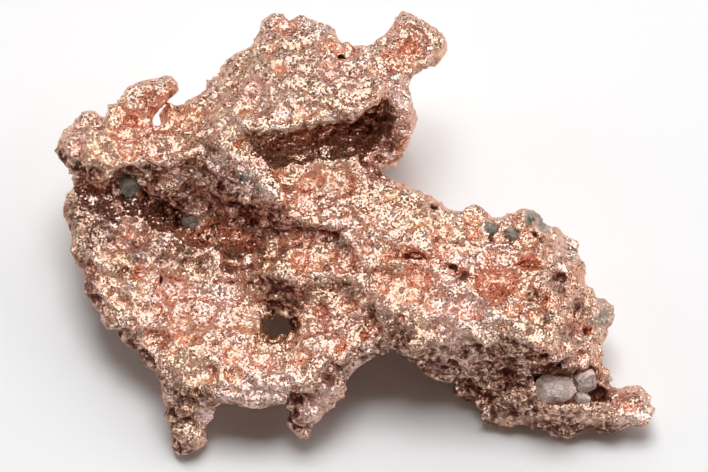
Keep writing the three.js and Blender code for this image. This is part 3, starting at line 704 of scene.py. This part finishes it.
def copper_skin_tree(finish):
    """Hammered dimples, wrinkles and grain, as lift along the surface's normal, in millimetres."""
    tree = bpy.data.node_groups.new("Copper skin", "GeometryNodeTree")
    tree.interface.new_socket(name="Copper", in_out="INPUT", socket_type="NodeSocketGeometry")
    for name, size in SKIN_SIZES.items():
        socket = tree.interface.new_socket(name=name, in_out="INPUT", socket_type="NodeSocketFloat")
        socket.default_value = size
    tree.interface.new_socket(name="Copper", in_out="OUTPUT", socket_type="NodeSocketGeometry")
    given = put(tree, "NodeGroupInput").outputs
    place = scaled(tree, put(tree, "GeometryNodeInputPosition").outputs[0], 1 / MM)
    drift = put(tree, "ShaderNodeTexNoise", {"Vector": place, "Scale": 0.42, "Detail": 2.0})
    warp = vectors(tree, "SUBTRACT", drift.outputs["Color"], MEAN_OF_RANDOM)
    bent = vectors(tree, "ADD", place, scaled(tree, warp.outputs[0], BEND))
    long = vectors(tree, "MULTIPLY", bent.outputs[0], (DIMPLE_SQUEEZE, 1.0, 1.0))

    def frequency(name):
        return worked(tree, "DIVIDE", 1.0, given[name])

    def bowls(width, depth):
        inputs = {"Vector": long.outputs[0], "Scale": frequency(width)}
        cells = put(tree, "ShaderNodeTexVoronoi", inputs, feature="F1")
        bowl = times(tree, cells.outputs["Distance"], cells.outputs["Distance"])
        bowl = minus(tree, times(tree, bowl, 2.2), 0.6)
        uneven = put(tree, "FunctionNodeSeparateColor", {0: cells.outputs["Color"]}).outputs[0]
        uneven = plus(tree, uneven, 0.35)
        offset = vectors(tree, "SUBTRACT", long.outputs[0], cells.outputs["Position"])
        upward = put(tree, "ShaderNodeSeparateXYZ", {0: offset.outputs[0]}).outputs[1]
        overlap = worked(tree, "DIVIDE", times(tree, upward, given["Scale overlap"]), given[width])
        bowl = minus(tree, bowl, overlap)
        return times(tree, bowl, times(tree, uneven, given[depth]))

    large_bowl = bowls("Dimple width", "Dimple depth")
    bowl = plus(tree, large_bowl, bowls("Small dimple width", "Small dimple depth"))

    inputs = {"Vector": long.outputs[0], "Scale": frequency("Wrinkle spacing"), "Detail": 2.0}
    inputs.update({"Roughness": 0.5, "Distortion": 0.6})
    folds = put(tree, "ShaderNodeTexNoise", inputs)
    fold = worked(tree, "ABSOLUTE", minus(tree, folds.outputs[0], 0.5))
    fold = minus(tree, 0.32, times(tree, fold, 3.2))
    fold = times(tree, fold, given["Wrinkle height"])

    grain = tilted_facets(tree, bent.outputs[0], frequency("Grain spacing"))
    grain = times(tree, grain, times(tree, given["Grain height"], 2.0))

    lift = plus(tree, bowl, plus(tree, fold, grain))
    height = put(tree, "ShaderNodeSeparateXYZ", {0: place}).outputs[2]
    inputs = {"Value": height, "From Max": given["Flat foot height"]}
    above = put(tree, "ShaderNodeMapRange", inputs).outputs[0]
    lift = times(tree, lift, above)
    calm = put(tree, "GeometryNodeInputNamedAttribute", {"Name": "calm"}, data_type="FLOAT").outputs[0]
    lift = times(tree, lift, minus(tree, 1.0, times(tree, calm, CALM_SHARE)))
    offset = scaled(tree, put(tree, "GeometryNodeInputNormal").outputs[0], times(tree, lift, MM))
    inputs = {"Geometry": given["Copper"], "Name": "relief", "Value": lift}
    kept = put(tree, "GeometryNodeStoreNamedAttribute", inputs, data_type="FLOAT", domain="POINT")
    moved = put(tree, "GeometryNodeSetPosition", {"Geometry": kept.outputs[0], "Offset": offset})
    real = put(tree, "GeometryNodeRealizeInstances", {0: moved.outputs[0]})
    done = put(tree, "GeometryNodeSetMaterial", {"Geometry": real.outputs[0], "Material": finish})
    put(tree, "NodeGroupOutput", {0: done.outputs[0]})
    return tree


def made_plain(piece, name):
    """The piece's evaluated shape as a plain mesh object; the piece itself goes."""
    depsgraph = bpy.context.evaluated_depsgraph_get()
    mesh = bpy.data.meshes.new_from_object(piece.evaluated_get(depsgraph), depsgraph=depsgraph)
    mesh.name = name
    plain = bpy.data.objects.new(name, mesh)
    bpy.context.scene.collection.objects.link(plain)
    bpy.data.objects.remove(piece)
    return plain


# ---- finishes ------------------------------------------------------------------------------------
def finish_tree(name):
    material = bpy.data.materials.new(name)
    material.use_nodes = True
    tree = material.node_tree
    tree.nodes.clear()
    shader = put(tree, "ShaderNodeBsdfPrincipled")
    put(tree, "ShaderNodeOutputMaterial", {"Surface": shader.outputs[0]})
    place = scaled(tree, put(tree, "ShaderNodeTexCoord").outputs["Object"], 1 / MM)
    return material, tree, shader, place


def tint(tree, amount, base, colour):
    node = put(tree, "ShaderNodeMix", {0: amount}, data_type="RGBA")
    for index, value in ((6, base), (7, colour)):
        if isinstance(value, bpy.types.NodeSocket):
            tree.links.new(value, node.inputs[index])
        else:
            node.inputs[index].default_value = (*value, 1)
    return node.outputs[2]


def noise(tree, place, size, detail=3.0, roughness=0.55):
    inputs = {"Vector": place, "Scale": 1 / size, "Detail": detail, "Roughness": roughness}
    return put(tree, "ShaderNodeTexNoise", inputs).outputs[0]


def mask(tree, name):
    return put(tree, "ShaderNodeAttribute", attribute_name=name).outputs["Fac"]


PALE_COPPER = (0.97, 0.74, 0.66)
BRIGHT_COPPER = (0.96, 0.655, 0.54)
GOLDEN_COPPER = (0.96, 0.69, 0.515)
# orange, maroon and black tint the hollows and creases: partly the oxide in them, partly painted shade;
# the black is painted shade in holes
ORANGE_COPPER = (0.82, 0.43, 0.30)
MAROON_OXIDE_AND_SHADE = (0.36, 0.13, 0.09)
EDGE_TINT = (0.94, 0.68, 0.58)
# painted shade for the sides that look down and left, and for the dark spots
UNDERSIDE_SHADE = (0.13, 0.042, 0.028)
HOLE_SHADE_BLACK = (0.05, 0.025, 0.02)
GREY_TARNISH = (0.40, 0.34, 0.32)
GREEN_MINERAL = (0.10, 0.125, 0.095)
FLAKE_SIZE = 0.55  # mm
GRAIN_SIZE = 0.25
COPPER_BUMP = 0.34
ROCK_BUMP = 0.25


def native_copper():
    material, tree, shader, place = finish_tree("native copper")
    shader.inputs["Specular Tint"].default_value = (*EDGE_TINT, 1)
    hollow = mask(tree, "hollow")
    relief = mask(tree, "relief")
    broad = noise(tree, place, 7.0)
    colour = tint(tree, ramp(tree, broad, 0.38, 0.62), BRIGHT_COPPER, GOLDEN_COPPER)
    pale = larger(tree, ramp(tree, noise(tree, place, 3.4), 0.5, 0.68), mask(tree, "pale"))
    colour = tint(tree, pale, colour, PALE_COPPER)
    # partly oxide, partly painted shade: the hollower and more creased the skin, the more it turns
    # orange, then maroon, then black
    cavity = mask(tree, "cavity")
    low = plus(tree, hollow, times(tree, relief, -0.2))
    low = plus(tree, low, times(tree, cavity, 0.095))
    blotches = minus(tree, noise(tree, place, 1.6), 0.5)
    low = plus(tree, low, times(tree, blotches, 0.22))
    red = larger(tree, ramp(tree, low, 0.57, 0.7), mask(tree, "red"))
    colour = tint(tree, times(tree, red, 0.65), colour, ORANGE_COPPER)
    deep = ramp(tree, low, 0.66, 0.84)
    colour = tint(tree, times(tree, deep, 0.75), colour, MAROON_OXIDE_AND_SHADE)
    black = ramp(tree, low, 0.88, 1.05)
    colour = tint(tree, black, colour, HOLE_SHADE_BLACK)
    # painted shade: skin that faces down and left, and the dark spots, is darkened in patches, less on
    # convex edges
    patchy = ramp(tree, noise(tree, place, 0.9), 0.38, 0.54, 0.25, 1.0)
    patchy = times(tree, patchy, ramp(tree, noise(tree, place, 3.2), 0.36, 0.52, 0.6, 1.0))
    patchy = times(tree, patchy, ramp(tree, cavity, -1.2, 0.0, 0.35, 1.0))
    painted_underside_shade = times(tree, mask(tree, "under"), patchy)
    colour = tint(tree, painted_underside_shade, colour, UNDERSIDE_SHADE)
    tarnish = times(tree, mask(tree, "grey"), ramp(tree, noise(tree, place, 2.2), 0.3, 0.6))
    colour = tint(tree, tarnish, colour, GREY_TARNISH)
    mineral = times(tree, mask(tree, "green"), ramp(tree, noise(tree, place, 1.2), 0.5, 0.54))
    colour = tint(tree, mineral, colour, GREEN_MINERAL)
    tree.links.new(colour, shader.inputs["Base Color"])
    dull = larger(tree, mineral, times(tree, black, 0.8))
    dull = larger(tree, dull, times(tree, tarnish, 0.7))
    dull = larger(tree, dull, times(tree, painted_underside_shade, 0.15))
    tree.links.new(minus(tree, 1.0, dull, clamp=True), shader.inputs["Metallic"])
    rough = ramp(tree, noise(tree, place, 1.1), 0.3, 0.7, 0.14, 0.28)
    rough = plus(tree, rough, times(tree, mask(tree, "even"), 0.06))
    rough = plus(tree, rough, times(tree, dull, 0.4), clamp=True)
    tree.links.new(rough, shader.inputs["Roughness"])
    # flakes and grain finer than the mesh
    calm = times(tree, mask(tree, "calm"), 0.4)
    quiet = plus(tree, calm, times(tree, mask(tree, "even"), 0.38), clamp=True)
    lively = minus(tree, 1.0, quiet)
    lively = plus(tree, lively, times(tree, mask(tree, "under"), 0.45))
    flaky = ramp(tree, noise(tree, place, 2.6, detail=1.0), 0.4, 0.58, 0.45, 1.0)
    flakes = times(tree, tilted_facets(tree, place, 1 / FLAKE_SIZE), 0.5)
    flakes = plus(tree, flakes, times(tree, noise(tree, place, 0.9, detail=1.0), 0.5))
    grain = times(tree, tilted_facets(tree, place, 1 / GRAIN_SIZE), 0.6)
    fine = plus(tree, times(tree, flakes, times(tree, flaky, lively)), grain)
    bump = put(tree, "ShaderNodeBump", {"Strength": 1.0, "Distance": COPPER_BUMP * MM, "Height": fine})
    tree.links.new(bump.outputs[0], shader.inputs["Normal"])
    return material


# each rock's dark, its light and its veins
GREY_ROCK = (0.52, 0.405, 0.355), (0.84, 0.67, 0.6), (0.9, 0.78, 0.72)
GREEN_ROCK = (0.22, 0.2, 0.155), (0.42, 0.385, 0.32), (0.5, 0.46, 0.4)


def host_rock(name, dark, light, vein):
    material, tree, shader, place = finish_tree(name)
    colour = tint(tree, ramp(tree, noise(tree, place, 1.3, 5.0, 0.65), 0.36, 0.64), dark, light)
    inputs = {"Vector": place, "Scale": 0.75}
    cracks = put(tree, "ShaderNodeTexVoronoi", inputs, feature="DISTANCE_TO_EDGE")
    crack = ramp(tree, cracks.outputs["Distance"], 0.0, 0.06, 1.0, 0.0)
    colour = tint(tree, times(tree, crack, 0.22), colour, [0.4 * v for v in dark])
    colour = tint(tree, ramp(tree, noise(tree, place, 0.5), 0.6, 0.7), colour, vein)
    tree.links.new(colour, shader.inputs["Base Color"])
    shader.inputs["Roughness"].default_value = 0.82
    grit = plus(tree, noise(tree, place, 0.35, 4.0, 0.7), times(tree, crack, -0.6))
    bump = put(tree, "ShaderNodeBump", {"Strength": 0.9, "Distance": ROCK_BUMP * MM, "Height": grit})
    tree.links.new(bump.outputs[0], shader.inputs["Normal"])
    return material


# ---- the pieces ----------------------------------------------------------------------------------
def mesh_values(mesh, name):
    """The points' places or normals."""
    values = np.empty(3 * len(mesh.vertices))
    mesh.vertices.foreach_get(name, values)
    return values.reshape(-1, 3)


def node_mesh(name):
    """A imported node's points, in the face frame, and its triangles."""
    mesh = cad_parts[name].data
    mesh.calc_loop_triangles()
    triangles = np.empty(3 * len(mesh.loop_triangles), int)
    mesh.loop_triangles.foreach_get("vertices", triangles)
    return to_face(mesh_values(mesh, "co")), triangles.reshape(-1, 3)


def object_from(name, points, faces):
    mesh = bpy.data.meshes.new(name)
    mesh.from_pydata(points.tolist(), [], faces.tolist())
    mesh.update()
    piece = bpy.data.objects.new(name, mesh)
    bpy.context.scene.collection.objects.link(piece)
    return piece


EDGE_ON = 0.05  # skin that faces the front less than this is on the hidden side
SEEN_SHARE = 0.25  # how readily seen skin is thinned, against 1 for the hidden side


def thinned(piece, limit):
    """Fewer faces on the hidden side, so that the piece stays under its limit of triangles."""
    mesh = piece.data
    triangles = sum(len(polygon.vertices) - 2 for polygon in mesh.polygons)
    if triangles <= limit:
        return piece
    hidden = mesh_values(mesh, "normal") @ FACE_AXES[2] < EDGE_ON
    group = piece.vertex_groups.new(name="hidden side")
    for index in np.flatnonzero(hidden):
        group.add([int(index)], 1.0, "REPLACE")
    for index in np.flatnonzero(~hidden):
        group.add([int(index)], SEEN_SHARE, "REPLACE")
    thin = piece.modifiers.new("thin", "DECIMATE")
    thin.ratio = limit / triangles
    thin.vertex_group = group.name
    return made_plain(piece, piece.name)


def paint(mesh, name, values):
    layer = mesh.attributes.new(name, "FLOAT", "POINT")
    layer.data.foreach_set("value", np.asarray(values, np.float32))


SPOT_PEAK = 1.6  # over 1, so a spot is full well out from its middle
SPOT_FALL = 1.3
BACK_BELOW = -9  # a spot doesn't reach the skin below this height in the face frame, mm


def spots(points, places):
    """How strongly each point is inside any of the spots (x, y, reach), as seen from the front."""
    total = np.zeros(len(points))
    for x, y, reach in places:
        away = np.hypot(points[:, 0] - x, points[:, 1] - y) / reach
        total = np.maximum(total, np.clip(SPOT_PEAK - SPOT_FALL * away, 0, 1))
    return total * (points[:, 2] > BACK_BELOW)


# spots (x, y, reach) tinted orange: partly the copper's own colour, partly painted shade in pits and
# pockets
RED_SPOTS = [
    (30, -5, 1.6), (29, -8, 1.6), (27, -9, 1.4), (29.5, -12, 1.6), (26.5, -2, 1.2),
    (-34.5, 14, 0.8), (-30, 15.5, 1.4), (-27.5, 18.8, 2), (-24, 16.5, 1.8), (-28.5, 13, 1.8),
    (-35, 6.8, 2), (7.5, 25.5, 1.4), (3.5, 18, 1.6), (4, -5, 1.8), (19, -6.4, 2.8),
    (20.5, -18.5, 2), (25, -16, 2.2), (37, -22.6, 1.5), (34, -21, 2), (24, -3.6, 1.8), (25, -8, 2),
    (33, -18, 1.6), (-7, -9, 1.6),
]
# spots (x, y, reach) of painted shade: the left rim's beads, the front face and the ledge below it, the
# pocket, below the crease and the right shoulder's pits
DARK_SPOTS = [
    (-38.2, 3.2, 1.7), (-37.9, 0.8, 1.6), (-37.4, -2.2, 1.7), (-36.2, -7, 1.8), (-35.2, -9.4, 1.7),
    (-33.4, -11.8, 1.8), (-31.2, -14.3, 1.7), (-28.6, -17.2, 1.8), (-26.6, -19.4, 1.7),
    (-26, -21.5, 1.7), (-25.6, -24, 1.7), (-24.6, -26.6, 1.7), (-22.5, -28, 1.4), (12, -17, 2.6),
    (15, -19.5, 3), (18, -22.5, 3), (21, -20, 3), (20, -26, 3), (24, -27, 3), (28, -28, 3),
    (33, -27, 2.4), (38, -26, 1.6), (-7.5, -27, 1.6), (-3.5, -19.5, 1.6), (-1.5, -17.5, 1.6),
    (1.5, -16, 1.6), (5, -15.5, 1.6), (33.5, -21, 2.2), (32.5, -19, 1.4), (-34, 1.5, 1.2),
    (-36, 0, 1.6), (-33, 0, 1.3), (-29.5, -2.5, 1.4), (-27, -1, 1.2), (-23.5, -3, 1.3),
    (-20.5, -4, 1.2), (-30, -1.5, 1.1), (-26, -3, 1.2), (-22, -2, 1.1), (-32, -4.5, 1.1),
    (-24.5, -6, 1), (-28, 1, 1), (26.5, -5.4, 1.4), (24, -8, 1.2), (28, -7, 1.2), (30.5, -9.5, 1.4),
    (26, -11, 1.2), (28.5, -13, 1.4),
]
# spots (x, y, reach) where the copper is painted paler and the painted underside shade is lifted
PALE_SPOTS = [
    (13, -9.5, 3), (16, -9.8, 3), (12.8, -12.2, 3), (17.5, -11.5, 2.4), (28.5, -2, 2.4),
    (38, -24.5, 2), (-13, -20, 2), (-9, -19.5, 2), (-19, -8.5, 3), (-25, -7.5, 2.5), (3.5, 10, 2),
    (-17, -21, 1.8), (-14, -21.3, 1.8), (-11, -21.3, 1.8), (-20, -24.5, 1.6), (-5.5, -24, 1.4),
    (-33.5, 3.5, 2.2), (-24, 8, 1.8), (-20.5, 7.5, 1.8), (-18, 9.5, 1.8), (-14.5, 8, 1.8),
    (-12, 5.8, 1.6), (-30.5, 4, 1.6), (-35, 4.5, 2.6), (-31.5, 2.5, 2), (5.8, 18.5, 2.4),
    (6, 15, 1.6), (5.5, 21, 2),
]
# spots (x, y, reach) of painted shade: holes made black
BLACK_HOLES = [
    (-28.2, 5.5, 1), (-25.4, 3.4, 1.3), (-23.8, 1.8, 1.2), (-21.6, 0.8, 1), (-16.3, 3.8, 1.5),
    (-19, 1.3, 0.9), (-11.5, 5.3, 0.9), (11, 4, 0.9), (27, -5.4, 0.8), (28.2, -5.2, 0.8),
    (24.5, 0.4, 0.6), (25.5, -0.4, 0.6), (30.2, -9.6, 0.8), (31.9, -12.8, 1), (25.8, -17.8, 1.2),
    (33.4, -21.2, 1.2), (-5, -20.6, 0.8), (-7, -22.4, 0.7), (13, -4.4, 0.8), (15, -5.4, 0.8),
    (-13.8, -4.3, 0.7), (-7.5, 1.2, 0.7), (20.3, -18.4, 0.9),
]
# spots (x, y, reach) where the hollows' oxide and painted shade are made lighter
LIGHTER_HOLLOWS = [
    (-7, 10.5, 2.4), (-3, 11, 2.6), (1, 12, 2.4), (-20, 6, 3), (-24, 6.5, 2.6), (-33, 4, 3),
    (-28, 5, 2), (-14, 5.5, 3), (-10.5, 3, 2), (4, 14.5, 1.8), (-35.5, 5.5, 2.6), (6, 18, 2.4),
]
GREEN_SPOTS = [(-15, 7.8, 1), (-33, 5.8, 1), (-31, 5.2, 1), (23.8, 2.2, 0.8), (-12.5, 6, 0.8)]
CALM_SPOTS = [
    (-31, 18, 1.4), (-29, 19.8, 1.4), (-27, 20.5, 1.4), (-25, 20, 1.4), (-8, 15.2, 1.5),
    (-5, 16, 1.5), (-2, 16.8, 2), (1, 18, 2.2), (3, 19.2, 1.6), (38, -21.5, 2.6), (39, -24.5, 2),
    (28.5, -2, 2.4), (19, -6.5, 2.6), (13, -12.4, 2.4), (15.5, -9.5, 2.2), (-19.5, -24, 1.6),
    (-22, -22, 1.4), (8.5, 0.5, 2), (-37.5, 3.5, 1.8), (-37.2, 1, 1.8), (-36.8, -2, 1.9),
    (-35.5, -6.8, 2), (-34.5, -9, 1.8), (-32.8, -11.4, 1.9), (-30.5, -14, 1.8), (-28, -16.6, 1.9),
    (-26, -19, 1.8), (-24.8, -23, 1.4), (-23.5, -26.5, 1.4), (26, -26, 2.4), (31, -25.5, 2.4),
    (21, -25.5, 2), (18, -25, 2.4), (23.5, -26.8, 2.4), (29, -27.5, 2.4), (35, -26, 2.4),
    (40, -22, 2), (-15, -21, 1.8), (-11, -21.4, 1.8), (-6, 20, 2.4), (-13, 17, 2), (11.2, -9, 2),
    (2, 4.5, 1.8), (-9.5, 7, 1.8), (-25, -7.5, 3), (-17, -8.5, 3), (5, 23, 2), (0, 18.5, 2.4),
    (-11, 16, 2.4), (-37, 13, 2), (-19.5, -3.5, 1.8), (-12.5, -16, 2), (-1.5, -17, 2.4),
    (-6, -19, 2.4),
]
EVEN_SPOTS = [
    (-10, 21, 6.5), (-5, 25, 5.5), (-16, 16, 4), (0, 21, 4), (-27, -8, 6), (-20, -13, 7),
    (-12, -18, 5), (-32, -3, 4), (14, -11, 5.5), (6, -8, 4), (8, 2, 5), (-3, 8, 3.5), (27, -1.5, 4),
    (-34, 12, 4), (38, -22, 4), (-20, -24, 3), (-6, -22, 3),
]
GREY_SPOTS = [(33.5, -11, 2), (33.5, -9.5, 1.4), (25.5, 1.5, 1.2), (24, 3, 1)]


HOLLOW_REACHES = (1.1, 2.8)  # how far round a point its hollowness is felt, mm
BLACKENED = 0.4  # what a black hole adds to the hollowness
LIGHTENED = 0.16  # and what a lighter hollow takes off
SHADED_WAY = np.array([-0.5, -0.85])  # painted shade: the skin is darkened most on the sides that look down and left
SHADE_TURN_REACH = 0.9  # smaller bumps than this don't turn the skin to or from that way, mm


def copper_nugget(finish):
    clay = Clay(*node_mesh("copper_nugget"))
    strands_into_crease(clay)
    ground_below_crease(clay)
    floor_of_hollow(clay)
    lip_of_brow(clay)
    clay.soften(ROUNDING)
    rng = np.random.default_rng(NUGGET_SEED)
    scattered_dishes(clay, rng, **BROAD_DISHES)
    scattered_dishes(clay, rng, **SMALL_DISHES)
    for region in REGIONS:
        region(clay)
    scattered_beads(clay, rng, **LOOSE_BEADS)
    scattered_pits(clay, rng, **FINE_PITS)
    points, quads = clay.skin()
    piece = object_from("copper", to_part(points), quads)
    piece = thinned(piece, TRIANGLE_LIMIT)
    mesh = piece.data
    places = to_face(mesh_values(mesh, "co"))
    # hollowness, from how much solid is round each point: it darkens the colour in hollows, partly as
    # oxide and partly as painted shade
    solid = (clay.field < 0).astype(np.float32)
    near, wide = (clay.value(places, blurred(solid, reach / STEP)) for reach in HOLLOW_REACHES)
    hollow = 0.5 * near + 0.5 * wide
    hollow += BLACKENED * spots(places, BLACK_HOLES) - LIGHTENED * spots(places, LIGHTER_HOLLOWS)
    paint(mesh, "hollow", hollow)
    # painted shade: how far each point faces down and left, with the dark spots, lifted where the pale
    # spots are
    clay.soften(SHADE_TURN_REACH)
    facing = clay.outward(places)[:, :2] @ SHADED_WAY
    under = np.clip((facing - 0.2) / 0.35, 0, 1)
    pale = spots(places, PALE_SPOTS)
    paint(mesh, "under", np.maximum(under, 0.9 * spots(places, DARK_SPOTS)) * (1 - 0.7 * pale))
    paint(mesh, "calm", spots(places, CALM_SPOTS))
    paint(mesh, "even", spots(places, EVEN_SPOTS))
    paint(mesh, "red", spots(places, RED_SPOTS))
    paint(mesh, "pale", pale)
    paint(mesh, "green", spots(places, GREEN_SPOTS))
    paint(mesh, "grey", spots(places, GREY_SPOTS))
    skin = piece.modifiers.new("skin", "NODES")
    skin.node_group = copper_skin_tree(finish)
    for item in skin.node_group.interface.items_tree:
        if item.in_out == "INPUT" and item.name in SKIN_SIZES:
            skin[item.identifier] = SKIN_SIZES[item.name]
    worn = piece.modifiers.new("worn", "SMOOTH")
    worn.factor = 0.5
    worn.iterations = 1
    piece = made_plain(piece, "native_copper")
    rest_on_floor(piece.data)
    paint(piece.data, "cavity", cavities(piece.data))
    piece.data.shade_smooth()
    return piece


def cavities(mesh):
    """How hollow the skin is at each point: about 1 in a crease, 0 on a flat and -1 on an edge."""
    places = mesh_values(mesh, "co")
    edges = np.empty(2 * len(mesh.edges), int)
    mesh.edges.foreach_get("vertices", edges)
    edges = edges.reshape(-1, 2)
    starts = np.concatenate([edges[:, 0], edges[:, 1]])
    ends = np.concatenate([edges[:, 1], edges[:, 0]])
    count = np.bincount(starts, minlength=len(places))

    def around(values):
        return np.column_stack([np.bincount(starts, v[ends], len(places)) / count for v in values.T])

    hollow = ((around(places) - places) * mesh_values(mesh, "normal")).sum(axis=1, keepdims=True)
    hollow = 0.5 * hollow + 0.5 * around(hollow)
    return np.clip(hollow[:, 0] / np.percentile(np.abs(hollow), 85), -2, 2)


def rest_on_floor(mesh):
    """Keeps every point on or above the floor."""
    points = mesh_values(mesh, "co")
    points[:, 2] = np.maximum(points[:, 2], 0)
    mesh.vertices.foreach_set("co", points.ravel())
    mesh.update()


GRAIN_GROWTH = 0.05  # how far a grain swells past its box, so that neighbours touch
BLOCKINESS = 0.88  # 1 is a ball, less is nearer to a box
ROCK_CUTS = 16
ROCK_WAVES = ((2.5, 0.05), (6, 0.05), (13, 0.035), (26, 0.02))  # how fine and how high


def rock_grain(name, finish, seed):
    """A broken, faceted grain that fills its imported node's box."""
    low, high = (np.array(corner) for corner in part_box(name))
    grown = GRAIN_GROWTH * (high - low)
    low, high = low - grown, high + grown
    rng = np.random.default_rng(seed)
    bpy.ops.mesh.primitive_ico_sphere_add(subdivisions=6, radius=1)
    piece = bpy.context.object
    mesh = piece.data
    points = mesh_values(mesh, "co")
    points = np.sign(points) * np.abs(points) ** BLOCKINESS
    for _ in range(ROCK_CUTS):
        way = rng.normal(size=3)
        way /= np.linalg.norm(way)
        over = np.maximum(points @ way - rng.uniform(0.55, 0.9), 0)
        points -= over[:, None] * way
    for size, height in ROCK_WAVES:
        waves = rng.normal(size=(6, 3)) * size
        phase = rng.uniform(0, 2 * math.pi, 6)
        points *= 1 + height * np.sin(points @ waves.T + phase).mean(axis=1, keepdims=True)
    points -= points.min(axis=0)
    points = low + points / points.max(axis=0) * (high - low)
    mesh.vertices.foreach_set("co", points.ravel())
    mesh.materials.append(finish)
    mesh.shade_flat()
    piece.name = mesh.name = name + "_rough"
    return piece


# ---- the studio, in metres -----------------------------------------------------------------------
def panel(name, place, size, glow, colour=(1, 1, 1)):
    """A soft rectangular light that faces the nugget, as bright to look at as its glow."""
    light = bpy.data.lights.new(name, "AREA")
    light.shape = "RECTANGLE"
    light.size, light.size_y = size
    light.energy = glow * math.pi * size[0] * size[1]
    light.color = colour
    lamp = bpy.data.objects.new(name, light)
    bpy.context.scene.collection.objects.link(lamp)
    lamp.location = place
    aim = to_part(np.zeros(3)) - np.array(place)
    lamp.rotation_euler = Vector(aim).to_track_quat("-Z", "Y").to_euler()
    return lamp


CAMERA_AWAY = 0.8
FIELD_WIDE = 95.6 * MM
SENSOR = 36
AIR_COLOUR = (1, 0.72, 0.6, 1)
AIR_GLOW = 0.09
FLOOR_HALF = 3
FLOOR_COLOUR = (0.92, 0.92, 0.92, 1)
WARM_CARD = (1, 0.8, 0.72)
NEUTRALISER = (0.945, 0.975, 1)  # the studio air is warm; this keeps the floor white


def studio():
    scene = bpy.context.scene
    scene.view_settings.view_transform = "Standard"
    world = bpy.data.worlds.new("studio air")
    world.use_nodes = True
    air = world.node_tree.nodes["Background"].inputs
    air["Color"].default_value = AIR_COLOUR
    air["Strength"].default_value = AIR_GLOW
    scene.world = world
    panel("back softbox", (0.08, 0.46, 0.6), (0.8, 0.5), 1.75)
    overhead = panel("overhead", (0.05, -0.15, 1.15), (1.35, 1.15), 1.66)
    cards = [
        panel("front card", (0, -1.1, 0.75), (2.0, 1.0), 0.16, WARM_CARD),
        panel("left card", (-1.1, 0, 0.6), (1.0, 1.6), 0.34, WARM_CARD),
        panel("right card", (1.1, 0, 0.6), (1.0, 1.6), 0.42, WARM_CARD),
        panel("front strip", (-0.15, -0.8, 0.3), (0.3, 0.05), 6.0, WARM_CARD),
    ]
    for card in cards:
        card.visible_diffuse = False
    panel("left strip", (-0.6, 0.15, 0.5), (0.12, 0.5), 2.4)
    panel("right strip", (0.6, 0.1, 0.4), (0.16, 0.5), 3.0)
    overhead.visible_diffuse = False
    background_lamp = panel("background lamp", (0.0, 0.42, 1.2), (0.55, 0.5), 12.6, NEUTRALISER)
    background_lamp.visible_glossy = False

    data = bpy.data.cameras.new("camera")
    data.sensor_width = SENSOR
    data.lens = SENSOR * CAMERA_AWAY / FIELD_WIDE
    data.clip_start = 0.01
    camera = bpy.data.objects.new("camera", data)
    scene.collection.objects.link(camera)
    camera.rotation_euler = (LEAN, 0, 0)
    camera.location = to_part(np.zeros(3)) + FACE_AXES[2] * CAMERA_AWAY
    scene.camera = camera

    corners = FLOOR_HALF * np.array([[-1, -1, 0], [1, -1, 0], [1, 1, 0], [-1, 1, 0]], float)
    floor = object_from("floor", corners, np.array([[0, 1, 2, 3]]))
    material, _, shader, _ = finish_tree("pale floor")
    shader.inputs["Base Color"].default_value = FLOOR_COLOUR
    shader.inputs["Roughness"].default_value = 0.9
    floor.data.materials.append(material)


studio()
copper = copper_nugget(native_copper())
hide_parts("copper_nugget")
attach(copper, "root")

finishes = {
    "host_rock_grey": host_rock("host rock, grey", *GREY_ROCK),
    "host_rock_green": host_rock("host rock, grey-green", *GREEN_ROCK),
}
for number, (node, slot) in enumerate(ROCKS.items()):
    rock = rock_grain(node, finishes[slot], seed=FIRST_ROCK_SEED + number)
    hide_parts(node)
    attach(rock, "root")
